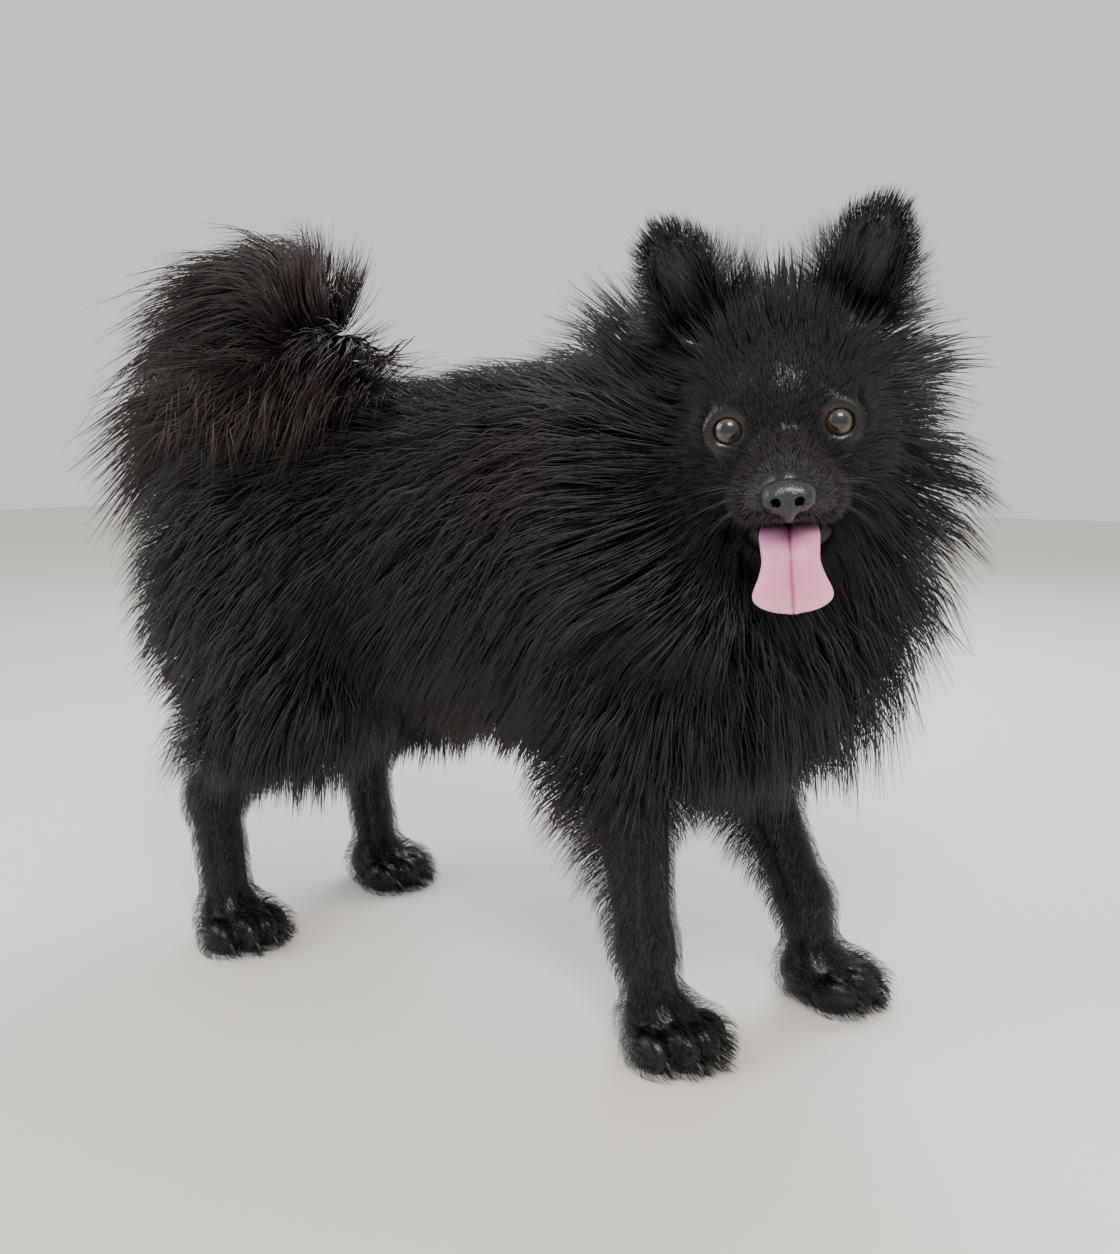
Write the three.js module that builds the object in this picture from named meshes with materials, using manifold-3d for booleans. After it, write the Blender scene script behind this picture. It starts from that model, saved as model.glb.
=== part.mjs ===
// A black Pomeranian standing square with its head turned to its right and its tail curled over the rump.
// Millimetres, +Z up, the chest towards +X and the dog's left side towards +Y.
import * as THREE from "three";
import { mergeVertices } from "three/addons/utils/BufferGeometryUtils.js";
import Module from "manifold-3d";

const wasm = await Module();
wasm.setup();

// Driving dimensions
const WITHERS = 294; // height of the skin over the shoulders
const STANCE = 280; // from the fore feet back to the hind feet
const EYE_SPACING = 43; // between the centres of the eyes
const MUZZLE = 34; // from the eyes forward to the tip of the nose
const HEAD_TURN = -69.3; // degrees that the face is turned from straight ahead
const HEAD_ROLL = 4.7; // degrees that the left eye is carried above the right one
const JOINT_GAP = 0.3; // clear space between neighbouring pieces
const SEAM = 0.36; // clear space at a level or slanted cut, a little over the joint gap
const UNDERCOAT_SHARE = 0.5; // depth of the dense undercoat, as a share of the coat's whole depth
const SHORT_HAIR = 1.5; // depth of the coat on the face and the legs
const LOCK_SPACING = [46, 30]; // between the roots of neighbouring locks, along the hair and across it
const LOCK_SLENDERNESS = 0.2; // half width of a lock for its length
const ROOT_DEPTH = 5; // that a lock's root is sunk in the undercoat
const TAIL_LOCKS = 40;
const FAR = 1000;

const CHEST_DEPTH = 0.5 * WITHERS;
const CHEST_HALF_WIDTH = 0.18 * WITHERS;
const FORE_X = STANCE / 2; // mean place of the fore feet
const HIND_X = -STANCE / 2;
const CHEST_Z = WITHERS - CHEST_DEPTH / 2;
const SIDES = [1, -1];
const SIDE_NAME = { 1: "left", "-1": "right" };

const point = (x, y, z) => new THREE.Vector3(x, y, z);
const clamp = THREE.MathUtils.clamp;
const lerp = THREE.MathUtils.lerp;
const degrees = THREE.MathUtils.degToRad;

// One seeded stream of numbers between 0 and 1
function dice(seed) {
  let state = seed >>> 0;
  return () => {
    state = (state * 1664525 + 1013904223) >>> 0;
    return state / 4294967296;
  };
}

// Fields: each takes a point and gives its distance outside the form, negative inside
const blend = (reach, ...fields) => (p) => {
  let best = fields[0](p);
  for (const field of fields.slice(1)) {
    const other = field(p);
    const near = Math.max(reach - Math.abs(best - other), 0) / reach;
    best = Math.min(best, other) - (near * near * reach) / 4;
  }
  return best;
};

function ellipsoid(centre, radii) {
  return (p) => {
    const q = p.clone().sub(centre);
    const outer = q.clone().divide(radii);
    const inner = outer.clone().divide(radii).length();
    const share = outer.length();
    return inner > 1e-9 ? (share * (share - 1)) / inner : -Math.min(radii.x, radii.y, radii.z);
  };
}

function limb(from, to, radiusFrom, radiusTo) {
  const run = to.clone().sub(from);
  return (p) => {
    const t = clamp(p.clone().sub(from).dot(run) / run.lengthSq(), 0, 1);
    return p.distanceTo(from.clone().addScaledVector(run, t)) - lerp(radiusFrom, radiusTo, t);
  };
}

const placed = (matrix, field) => {
  const inverse = matrix.clone().invert();
  return (p) => field(p.clone().applyMatrix4(inverse));
};

// The head's own frame: x out of the face, y to the dog's left, z up, from midway between the eyes
const EYES = point(FORE_X + 32, -64, WITHERS - 9);
const headFrame = (() => {
  const forward = point(Math.cos(degrees(HEAD_TURN)), Math.sin(degrees(HEAD_TURN)), 0);
  const level = point(0, 0, 1).cross(forward);
  const roll = degrees(HEAD_ROLL);
  const left = level.clone().multiplyScalar(Math.cos(roll)).add(point(0, 0, Math.sin(roll)));
  return new THREE.Matrix4().makeBasis(forward, left, forward.clone().cross(left)).setPosition(EYES);
})();
const onHead = (x, y, z) => point(x, y, z).applyMatrix4(headFrame);
const headWay = (x, y, z) => point(x, y, z).transformDirection(headFrame);

const EYE_RADIUS = 8.5;
const EYE_Y = EYE_SPACING / 2;
const EYE_DEPTH = -7.5; // centre of each eyeball behind the face's plane
const NOSE = point(MUZZLE - 3, 0, -25.5);
const NOSE_SIZE = point(7.5, 10, 6.8);

const skull = placed(
  headFrame,
  blend(
    7,
    blend(
      12,
      ellipsoid(point(-34, 0, 10), point(38, 34, 32)),
      ...SIDES.map((s) => ellipsoid(point(-28, s * 20, -12), point(27, 18, 22))),
      limb(point(-34, 0, -20), point(-62, 0, -26), 22, 32),
    ),
    ...SIDES.map((s) => ellipsoid(point(-10, s * (EYE_Y - 3), 9), point(9, 11, 7))),
    limb(point(-10, 0, -13), point(MUZZLE - 11, 0, -24), 16.5, 10.5),
    ...SIDES.map((s) => ellipsoid(point(9, s * 11, -27), point(17, 9.5, 9.5))),
  ),
);
const jawField = placed(
  headFrame,
  blend(
    8,
    limb(point(-34, 0, -36), point(8, 0, -50), 12, 7.5),
    ellipsoid(point(-26, 0, -40), point(18, 20, 9)),
  ),
);

// Legs: joints from the body down to the foot
const legs = SIDES.flatMap((s) => {
  const fore = s > 0 ? FORE_X + 22 : FORE_X - 22;
  const hind = s > 0 ? HIND_X + 7 : HIND_X - 6;
  return [
    {
      name: `fore_leg_${SIDE_NAME[s]}`,
      paw: `fore_paw_${SIDE_NAME[s]}`,
      side: s,
      foot: point(fore, s * 46.5, 0),
      toesTurn: s > 0 ? 8 : -24,
      joints: [point(118, s * 38, 192), point(s > 0 ? 106 : 93, s * 44, 142), point(fore - 13, s * 46, 48)],
      radii: [26, 19, 12],
      top: 146,
      ankle: 27,
    },
    {
      name: `hind_leg_${SIDE_NAME[s]}`,
      paw: `hind_paw_${SIDE_NAME[s]}`,
      side: s,
      foot: point(hind, s * 58, 0),
      toesTurn: s > 0 ? 6 : -12,
      joints: [point(-124, s * 38, 222), point(hind + 52, s * 50, 158), point(hind - 16, s * 57, 82)],
      radii: [36, 26, 13],
      top: 128,
      ankle: 25,
    },
  ];
});
const ANKLE_RADIUS = 11.5;

function legField(leg) {
  const [upper, middle, lower] = leg.joints;
  const ankle = leg.foot.clone().setZ(14).add(point(-6, 0, 0));
  return blend(
    10,
    limb(upper, middle, leg.radii[0], leg.radii[1]),
    limb(middle, lower, leg.radii[1], leg.radii[2]),
    limb(lower, ankle, leg.radii[2], ANKLE_RADIUS),
  );
}

// A paw: one pad and four toes, the middle two set forward
const pawFrame = (leg) =>
  new THREE.Matrix4().makeRotationZ(degrees(leg.toesTurn)).setPosition(leg.foot);
const toes = [-1.5, -0.5, 0.5, 1.5].map((across) => {
  const outer = Math.abs(across) > 1;
  return { y: across * 11.2, x: outer ? 7 : 14, reach: outer ? 12 : 13, half: 7.3, tall: outer ? 9.5 : 10.5 };
});
const pawField = (leg) =>
  placed(
    pawFrame(leg),
    blend(
      3.5,
      ellipsoid(point(-5, 0, 13), point(19, 17.5, 14.5)),
      ...toes.map((t) => ellipsoid(point(t.x, t.y, t.tall - 1.2), point(t.reach, t.half, t.tall))),
    ),
  );

// The tail: a loop that rises from the rump, turns forward over it and ends on the right side
const TAIL_CENTRE = point(HIND_X + 10, -4, WITHERS + 26);
const TAIL_SPAN = 0.86; // share of a full turn
function tailPoint(t) {
  const angle = degrees(238) - t * TAIL_SPAN * 2 * Math.PI;
  const radius = lerp(46, 21, t);
  return TAIL_CENTRE.clone().add(
    point(radius * Math.cos(angle), -32 * t, radius * Math.sin(angle)),
  );
}
const TAIL_STEPS = 12;
const tailRadius = (t) => lerp(13, 7, t);
const tailField = blend(
  4,
  ...Array.from({ length: TAIL_STEPS }, (_, i) => {
    const [a, b] = [i / TAIL_STEPS, (i + 1) / TAIL_STEPS];
    return limb(tailPoint(a), tailPoint(b), tailRadius(a), tailRadius(b));
  }),
);

const trunk = blend(
  26,
  ellipsoid(point(90, 0, CHEST_Z), point(62, CHEST_HALF_WIDTH - 2, CHEST_DEPTH / 2)),
  ellipsoid(point(25, 0, CHEST_Z + 3), point(82, CHEST_HALF_WIDTH + 2, CHEST_DEPTH / 2 - 5)),
  ellipsoid(point(-55, 0, CHEST_Z + 13), point(74, CHEST_HALF_WIDTH - 8, CHEST_DEPTH / 2 - 19)),
  ellipsoid(point(HIND_X + 22, 0, CHEST_Z + 20), point(50, CHEST_HALF_WIDTH - 10, 48)),
  ellipsoid(point(134, 0, CHEST_Z - 14), point(34, 34, 44)),
  ...SIDES.map((s) => ellipsoid(point(100, s * 36, CHEST_Z + 6), point(36, 22, 54))),
  ...SIDES.map((s) => ellipsoid(point(HIND_X + 16, s * 40, CHEST_Z - 14), point(40, 24, 58))),
);
const neckField = limb(point(100, 0, WITHERS - 48), point(138, -2, WITHERS - 22), 46, 38);
const flesh = blend(
  16,
  blend(22, trunk, neckField),
  ...legs.map((leg) => blend(6, legField(leg), pawField(leg))),
  skull,
);

function slope(field, p) {
  const e = 0.5;
  return point(
    field(point(p.x + e, p.y, p.z)) - field(point(p.x - e, p.y, p.z)),
    field(point(p.x, p.y + e, p.z)) - field(point(p.x, p.y - e, p.z)),
    field(point(p.x, p.y, p.z + e)) - field(point(p.x, p.y, p.z - e)),
  ).normalize();
}

// How the coat lies: strokes of a comb, each with its place, the way the hair lies, its length and how far
// its tips stand off the skin. Strokes on the body are given for the left side and mirrored.
const stroke = (at, way, length, standOff) => ({ at, way: way.normalize(), length, standOff });
const bodyStrokes = [
  [[70, 0, WITHERS], [-1, 0, 0.1], 55, 24],
  [[-20, 0, WITHERS], [-1, 0, 0], 50, 22],
  [[-100, 0, WITHERS - 4], [-1, 0.2, 0.1], 50, 26],
  [[40, 48, WITHERS - 30], [-0.8, 0.1, -0.6], 62, 27],
  [[-60, 44, WITHERS - 30], [-0.85, 0.1, -0.5], 60, 27],
  [[60, 58, CHEST_Z], [-0.5, 0, -1], 64, 30],
  [[-40, 52, CHEST_Z], [-0.6, 0, -0.9], 66, 30],
  [[50, 46, CHEST_Z - 50], [-0.5, 0.05, -1], 46, 26],
  [[-50, 40, CHEST_Z - 40], [-0.5, 0, -1], 46, 26],
  [[20, 0, CHEST_Z - 72], [-0.45, 0, -1], 42, 34],
  [[-90, 0, CHEST_Z - 28], [-0.5, 0, -1], 40, 30],
  [[118, 58, CHEST_Z], [-0.25, 0.1, -1], 74, 36],
  [[166, 0, CHEST_Z - 10], [0.15, 0, -1], 74, 46],
  [[150, 34, CHEST_Z - 40], [0.1, 0.15, -1], 60, 42],
  [[130, 0, CHEST_Z - 66], [0, 0, -1], 46, 40],
  [[100, 40, CHEST_Z - 70], [-0.5, 0, -1], 34, 20],
  [[-120, 62, CHEST_Z], [-0.6, 0.05, -0.8], 60, 28],
  [[-110, 58, CHEST_Z - 55], [-0.45, 0, -1], 50, 24],
  [[-172, 20, CHEST_Z + 10], [-0.7, 0.1, -0.8], 66, 46],
  [[-160, 45, CHEST_Z - 40], [-0.7, 0.1, -0.9], 62, 40],
];
const headStrokes = [
  [[-8, 8, 22], [-0.7, 0.1, 0.7], 12, 7],
  [[-30, 8, 44], [-0.7, 0.05, 0.75], 30, 20],
  [[-55, 12, 36], [-0.9, 0.1, 0.4], 48, 30],
  [[-14, 34, 6], [-0.9, 0.5, 0], 16, 7],
  [[-14, 32, -16], [-0.9, 0.5, -0.5], 16, 7],
  [[-38, 38, -4], [-0.7, 0.8, -0.4], 44, 22],
  [[-36, 32, -34], [-0.4, 0.5, -0.9], 52, 32],
  [[-30, 0, -52], [-0.3, 0, -1], 46, 30],
  [[-58, 36, 20], [-0.6, 0.9, 0.1], 76, 58],
  [[-66, 40, -20], [-0.5, 0.9, -0.6], 88, 64],
  [[-66, 30, -60], [-0.3, 0.6, -1], 86, 60],
];
const mirrored = ([x, y, z], s) => [x, s * y, z];
const strokes = [
  ...bodyStrokes.flatMap(([at, way, length, standOff]) =>
    SIDES.map((s) => stroke(point(...mirrored(at, s)), point(...mirrored(way, s)), length, standOff)),
  ),
  ...headStrokes.flatMap(([at, way, length, standOff]) =>
    SIDES.map((s) => stroke(onHead(...mirrored(at, s)), headWay(...mirrored(way, s)), length, standOff)),
  ),
];

// The coat's lie at a point: the nearer strokes count most
function coatAt(p) {
  const way = point(0, 0, 0);
  let [length, standOff, total] = [0, 0, 0];
  for (const s of strokes) {
    const weight = 1 / (p.distanceToSquared(s.at) + 60) ** 2;
    way.addScaledVector(s.way, weight);
    length += weight * s.length;
    standOff += weight * s.standOff;
    total += weight;
  }
  return { way: way.normalize(), length: length / total, standOff: standOff / total };
}

// Grid lines from low to high, with the step changing at each named place
function gridLine(low, ...stretches) {
  const line = [low];
  for (const [high, step] of stretches) {
    const start = line[line.length - 1];
    const count = Math.max(1, Math.round((high - start) / step));
    for (let i = 1; i <= count; i++) line.push(lerp(start, high, i / count));
  }
  return line;
}

// The surface where a field is zero, one vertex for each grid cell that it passes through. Growing it moves
// each vertex straight out, so that the grown surface clears the first one everywhere.
function surfaceOf(field, lines, grow = 0, frame = new THREE.Matrix4()) {
  const [xs, ys, zs] = lines;
  const [nx, ny, nz] = lines.map((l) => l.length);
  const at = (i, j, k) => point(xs[i], ys[j], zs[k]).applyMatrix4(frame);
  const values = new Float64Array(nx * ny * nz);
  const index = (i, j, k) => (i * ny + j) * nz + k;
  const onEdge = (i, j, k) => !i || !j || !k || i === nx - 1 || j === ny - 1 || k === nz - 1;
  for (let i = 0; i < nx; i++)
    for (let j = 0; j < ny; j++)
      for (let k = 0; k < nz; k++)
        values[index(i, j, k)] = onEdge(i, j, k) ? FAR : field(at(i, j, k));

  const vertices = [];
  const vertexOf = new Int32Array(nx * ny * nz).fill(-1);
  for (let i = 0; i < nx - 1; i++)
    for (let j = 0; j < ny - 1; j++)
      for (let k = 0; k < nz - 1; k++) {
        const corners = [];
        for (let c = 0; c < 8; c++) corners.push([i + (c & 1), j + ((c >> 1) & 1), k + (c >> 2)]);
        const signs = corners.map((c) => values[index(...c)]);
        if (signs.every((v) => v < 0) || signs.every((v) => v >= 0)) continue;
        const mean = point(0, 0, 0);
        let crossings = 0;
        for (let a = 0; a < 8; a++)
          for (const bit of [1, 2, 4]) {
            const b = a | bit;
            if (a & bit || signs[a] < 0 === signs[b] < 0) continue;
            const share = clamp(signs[a] / (signs[a] - signs[b]), 0.02, 0.98);
            mean.add(at(...corners[a]).lerp(at(...corners[b]), share));
            crossings++;
          }
        mean.divideScalar(crossings);
        if (!corners.some((c) => onEdge(...c))) {
          const reach = 0.35 * Math.min(xs[i + 1] - xs[i], ys[j + 1] - ys[j], zs[k + 1] - zs[k]);
          mean.addScaledVector(slope(field, mean), -clamp(field(mean), -reach, reach));
        }
        if (grow) mean.addScaledVector(slope(field, mean), grow);
        vertexOf[index(i, j, k)] = vertices.length / 3;
        vertices.push(...mean.toArray());
      }

  const faces = [];
  const quad = (cells, flip) => {
    const [a, b, c, d] = (flip ? [...cells].reverse() : cells).map((cell) => vertexOf[index(...cell)]);
    const corner = (v) => point(...vertices.slice(3 * v, 3 * v + 3));
    if (corner(a).distanceToSquared(corner(c)) < corner(b).distanceToSquared(corner(d)))
      faces.push(a, b, c, a, c, d);
    else faces.push(b, c, d, b, d, a);
  };
  for (let i = 0; i < nx - 1; i++)
    for (let j = 0; j < ny - 1; j++)
      for (let k = 0; k < nz - 1; k++) {
        const here = values[index(i, j, k)] < 0;
        if (j && k && here !== values[index(i + 1, j, k)] < 0)
          quad([[i, j - 1, k - 1], [i, j, k - 1], [i, j, k], [i, j - 1, k]], !here);
        if (i && k && here !== values[index(i, j + 1, k)] < 0)
          quad([[i - 1, j, k - 1], [i - 1, j, k], [i, j, k], [i, j, k - 1]], !here);
        if (i && j && here !== values[index(i, j, k + 1)] < 0)
          quad([[i - 1, j - 1, k], [i, j - 1, k], [i, j, k], [i - 1, j, k]], !here);
      }
  return new wasm.Manifold(
    new wasm.Mesh({
      numProp: 3,
      vertProperties: new Float32Array(vertices),
      triVerts: new Uint32Array(faces),
    }),
  );
}

// A closed three.js geometry as a solid
function solidOf(geometry, matrix = new THREE.Matrix4()) {
  const bare = geometry.clone().applyMatrix4(matrix);
  bare.deleteAttribute("normal");
  bare.deleteAttribute("uv");
  const merged = mergeVertices(bare, 1e-3);
  return new wasm.Manifold(
    new wasm.Mesh({
      numProp: 3,
      vertProperties: merged.attributes.position.array,
      triVerts: new Uint32Array(merged.index.array),
    }),
  );
}

// A box between two corners, grown on every side, in a frame
function block(low, high, grow = 0, frame = new THREE.Matrix4()) {
  const size = high.clone().sub(low).addScalar(2 * grow);
  const middle = low.clone().add(high).multiplyScalar(0.5);
  const place = frame.clone().multiply(new THREE.Matrix4().setPosition(middle));
  return solidOf(new THREE.BoxGeometry(size.x, size.y, size.z), place);
}

function ball(centre, radii, around, along, frame, turn = new THREE.Matrix4()) {
  const place = frame.clone().multiply(new THREE.Matrix4().setPosition(centre)).multiply(turn);
  const round = new THREE.SphereGeometry(1, around, along).scale(radii.x, radii.y, radii.z);
  return solidOf(round, place);
}

const joined = (solids) => solids.reduce((whole, next) => whole.add(next));
const largest = (solid) =>
  solid.decompose().reduce((best, next) => (next.volume() > best.volume() ? next : best));

// Depth of the whole coat over the skin, short on the face and the legs
const toHead = headFrame.clone().invert();
function coatDepth(p) {
  const face = p.clone().applyMatrix4(toHead);
  const furred = 1 - THREE.MathUtils.smoothstep(face.x, -30, -4) * (face.length() < 120 ? 1 : 0);
  const onLeg = THREE.MathUtils.smoothstep(p.z, 95, 140);
  return coatAt(p).standOff * furred * onLeg + SHORT_HAIR;
}
const undercoat = (p) => flesh(p) - Math.max(UNDERCOAT_SHARE * coatDepth(p), SHORT_HAIR);
const legShape = (leg) => {
  const bones = blend(6, legField(leg), pawField(leg));
  return (p) => bones(p) - SHORT_HAIR;
};

// A lock follows a path over the body: it leaves its root, keeps the lie of the coat and lifts towards its
// stand-off, but never dips into the body below it
const LOCK_RINGS = 3;
const LIFT = [0, 0.86, 1, 1];
const FULLNESS = [0.7, 1, 0.8];
function comb(root, lie, random, clear = () => 0) {
  const { length, standOff } = lie(root);
  const reach = length * lerp(0.85, 1.12, random());
  const height = standOff * (random() < 0.5 ? 0.84 : 1.06);
  const sway = lerp(-0.22, 0.22, random());
  const out = slope(flesh, root);
  const path = [{ at: root.clone().addScaledVector(out, -ROOT_DEPTH), out }];
  const at = root.clone();
  for (let ring = 1; ring <= LOCK_RINGS; ring++) {
    const { way } = lie(at);
    const lift = slope(flesh, at);
    const across = lift.clone().cross(way).normalize();
    const step = reach / LOCK_RINGS;
    const heading = way.clone().addScaledVector(across, sway);
    heading.addScaledVector(lift, Math.max(0, -heading.dot(lift)));
    const floor = Math.max(height * LIFT[ring], clear(at));
    heading.addScaledVector(lift, clamp((floor - flesh(at)) / step, 0, 1.3)).normalize();
    at.addScaledVector(heading, step);
    path.push({ at: at.clone(), out: slope(flesh, at) });
  }
  return { path, halfWidth: reach * LOCK_SLENDERNESS * lerp(0.85, 1.2, random()) };
}

// The lock as a closed wedge: flat underneath, ridged on top, tapering to its tip
function lockSolid({ path, halfWidth }, grow) {
  const vertices = [];
  for (let ring = 0; ring < LOCK_RINGS; ring++) {
    const { at, out } = path[ring];
    const along = path[ring + 1].at.clone().sub(path[Math.max(ring - 1, 0)].at).normalize();
    const across = out.clone().cross(along).normalize();
    const up = along.clone().cross(across).normalize();
    const half = halfWidth * FULLNESS[ring];
    const start = ring ? at : at.clone().addScaledVector(along, -2 * grow);
    for (const [side, rise] of [[-1, -0.06], [1, -0.06], [0, 0.32]]) {
      const corner = start.clone().addScaledVector(across, side * (half + 5 * grow));
      corner.addScaledVector(up, rise * half + (rise > 0 ? 3 * grow : -1.5 * grow));
      vertices.push(...corner.toArray());
    }
  }
  const { at } = path[LOCK_RINGS];
  const end = at.clone().sub(path[LOCK_RINGS - 1].at).normalize();
  vertices.push(...at.clone().addScaledVector(end, 8 * grow).toArray());
  const faces = [0, 2, 1];
  for (let ring = 0; ring < LOCK_RINGS - 1; ring++)
    for (let side = 0; side < 3; side++) {
      const [a, b] = [3 * ring + side, 3 * ring + ((side + 1) % 3)];
      faces.push(a, b, a + 3, b, b + 3, a + 3);
    }
  const last = 3 * (LOCK_RINGS - 1);
  for (let side = 0; side < 3; side++) faces.push(last + side, last + ((side + 1) % 3), last + 3);
  const mesh = { numProp: 3, vertProperties: new Float32Array(vertices), triVerts: new Uint32Array(faces) };
  return new wasm.Manifold(new wasm.Mesh(mesh));
}

// Roots spread evenly over the part of the skin that a test admits, spaced by the length of the coat there
function spreadRoots(low, high, admits, random, spacing, tries = 9000) {
  const roots = [];
  for (let i = 0; i < tries; i++) {
    const within = (axis) => lerp(low[axis], high[axis], random());
    const p = point(within("x"), within("y"), within("z"));
    if (Math.abs(flesh(p)) > 30) continue;
    for (let k = 0; k < 3; k++) p.addScaledVector(slope(flesh, p), -undercoat(p));
    if (Math.abs(undercoat(p)) > 1 || !admits(p)) continue;
    const { way } = coatAt(p);
    const apart = (other) => {
      const along = other.clone().sub(p).dot(way);
      const across = Math.sqrt(Math.max(other.distanceToSquared(p) - along * along, 0));
      return Math.hypot(along / LOCK_SPACING[0], across / LOCK_SPACING[1]) > spacing;
    };
    if (roots.every(apart)) roots.push(p);
  }
  return roots;
}

// Each builder makes its piece, or the same piece grown by the joint gap for cutting its neighbours clear
const builders = {};
for (const s of SIDES) {
  builders[`eye_${SIDE_NAME[s]}`] = (grow) => {
    const r = EYE_RADIUS + grow;
    return ball(point(EYE_DEPTH, s * EYE_Y, 0), point(r, r, r), 12, 7, headFrame);
  };
}
builders.nose = (grow) => ball(NOSE, NOSE_SIZE.clone().addScalar(grow), 12, 8, headFrame);

const tongueLine = new THREE.CatmullRomCurve3([
  point(-12, 0, -38),
  point(4, 0, -40.5),
  point(16, 0, -42),
  point(23, 0, -47),
  point(25, 0, -57),
  point(24, 0, -68),
]);
builders.tongue = (grow) => {
  const steps = 10;
  const ring = 10;
  const thick = 2.2 + grow;
  const vertices = [];
  for (let i = 0; i <= steps; i++) {
    const t = i / steps;
    const centre = tongueLine.getPointAt(t);
    const along = tongueLine.getTangentAt(t);
    const up = point(0, 1, 0).cross(along).negate();
    const swell = 4.5 * Math.exp(-(((t - 0.8) / 0.16) ** 2));
    const half = (lerp(10, 12, t) + swell) * (t > 0.95 ? 0.72 : 1) + grow;
    for (let j = 0; j < ring; j++) {
      const a = (2 * Math.PI * j) / ring;
      const q = centre.clone().add(point(0, half * Math.cos(a), 0)).addScaledVector(up, thick * Math.sin(a));
      vertices.push(...q.applyMatrix4(headFrame).toArray());
    }
  }
  const faces = [];
  for (let i = 0; i < steps; i++)
    for (let j = 0; j < ring; j++) {
      const k = (j + 1) % ring;
      const [a, b, c, d] = [i * ring + j, i * ring + k, (i + 1) * ring + k, (i + 1) * ring + j];
      faces.push(a, b, d, b, c, d);
    }
  for (let j = 1; j < ring - 1; j++) {
    faces.push(0, j + 1, j);
    faces.push(steps * ring, steps * ring + j, steps * ring + j + 1);
  }
  const solid = new wasm.Manifold(
    new wasm.Mesh({
      numProp: 3,
      vertProperties: new Float32Array(vertices),
      triVerts: new Uint32Array(faces),
    }),
  );
  return solid;
};

for (const s of SIDES) {
  builders[`ear_${SIDE_NAME[s]}`] = (grow) => {
    const lean = new THREE.Matrix4().makeRotationX(degrees(-20 * s));
    const shell = ball(point(-38, s * 36, 58), point(9, 16, 29).addScalar(grow), 12, 8, headFrame, lean);
    const cup = ball(point(-31, s * 36.5, 57), point(7, 11.5, 22), 10, 7, headFrame, lean);
    const aboveCrown = block(point(-FAR, -FAR, 43 - grow), point(FAR, FAR, FAR), 0, headFrame);
    return shell.subtract(cup).intersect(aboveCrown);
  };
}
builders.jaw = (grow) => {
  const lines = [gridLine(-60, [26, 6.5]), gridLine(-32, [32, 6.4]), gridLine(-72, [-20, 6.4])];
  const whole = surfaceOf(jawField, lines, grow, headFrame);
  return whole.intersect(block(point(-26, -40, -80), point(40, 40, 0), grow, headFrame));
};

for (const leg of legs) {
  const reach = 34;
  const [x, y] = [leg.foot.x, leg.foot.y];
  builders[leg.paw] = (grow) => {
    const lines = [
      gridLine(x - reach, [x + reach, 7.6]),
      gridLine(y - reach, [y + reach, 6.8]),
      gridLine(-12, [48, 7.6]),
    ];
    const whole = surfaceOf(legShape(leg), lines, grow);
    return whole.intersect(block(point(-FAR, -FAR, 0), point(FAR, FAR, leg.ankle), grow));
  };
  builders[leg.name] = (grow) => {
    const lines = [
      gridLine(Math.min(...leg.joints.map((j) => j.x), x) - 40, [
        Math.max(...leg.joints.map((j) => j.x), x) + 40,
        10,
      ]),
      gridLine(y - 40, [y + 40, 10]),
      gridLine(8, [leg.top + 30, 16]),
    ];
    const whole = surfaceOf(legShape(leg), lines, grow);
    return whole.intersect(block(point(-FAR, -FAR, leg.ankle + JOINT_GAP), point(FAR, FAR, leg.top), grow));
  };
}

// Where the trunk is parted: the head and the neck by slanted planes, the thighs and legs by boxes
const HEAD_BACK = -50;
const HEAD_BELOW = -62;
const HEAD_HALF_WIDTH = 64;
const headBox = (grow) =>
  block(point(HEAD_BACK, -HEAD_HALF_WIDTH, HEAD_BELOW), point(90, HEAD_HALF_WIDTH, 120), grow, headFrame);
const neckCut = new THREE.Matrix4().makeRotationY(degrees(-34)).setPosition(point(106, 0, WITHERS - 46));
const neckBox = (grow) => block(point(0, -FAR, -FAR), point(FAR, FAR, FAR), grow, neckCut);
const THIGH_FRONT = HIND_X + 78;
const THIGH_INNER = 24;
const THIGH_TOP = CHEST_Z + 40;
const LEG_TOP = 128;
const thighBox = (s, grow) =>
  block(
    point(-FAR, s > 0 ? THIGH_INNER : -FAR, LEG_TOP),
    point(THIGH_FRONT, s > 0 ? FAR : -THIGH_INNER, THIGH_TOP),
    grow,
  );
const inverseNeckCut = neckCut.clone().invert();
function regionAt(p) {
  const h = p.clone().applyMatrix4(toHead);
  const inHead = h.x > HEAD_BACK && Math.abs(h.y) < HEAD_HALF_WIDTH && h.z > HEAD_BELOW;
  if (inHead) return "head";
  const near = (leg) => p.z < leg.top && Math.abs(p.x - leg.joints[1].x) < 62 && p.y * leg.side > 12;
  if (legs.some(near)) return "leg";
  if (p.clone().applyMatrix4(inverseNeckCut).x > 0) return "neck";
  const inThigh = p.x < THIGH_FRONT && Math.abs(p.y) > THIGH_INNER && p.z > LEG_TOP && p.z < THIGH_TOP;
  if (inThigh) return `thigh_${SIDE_NAME[Math.sign(p.y)]}`;
  return "torso";
}
const wellWithin = (name, p, margin = 7) =>
  [0, 1, 2].every((axis) =>
    SIDES.every((s) => {
      const q = p.clone();
      q.setComponent(axis, q.getComponent(axis) + s * margin);
      return regionAt(q) === name;
    }),
  );

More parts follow.
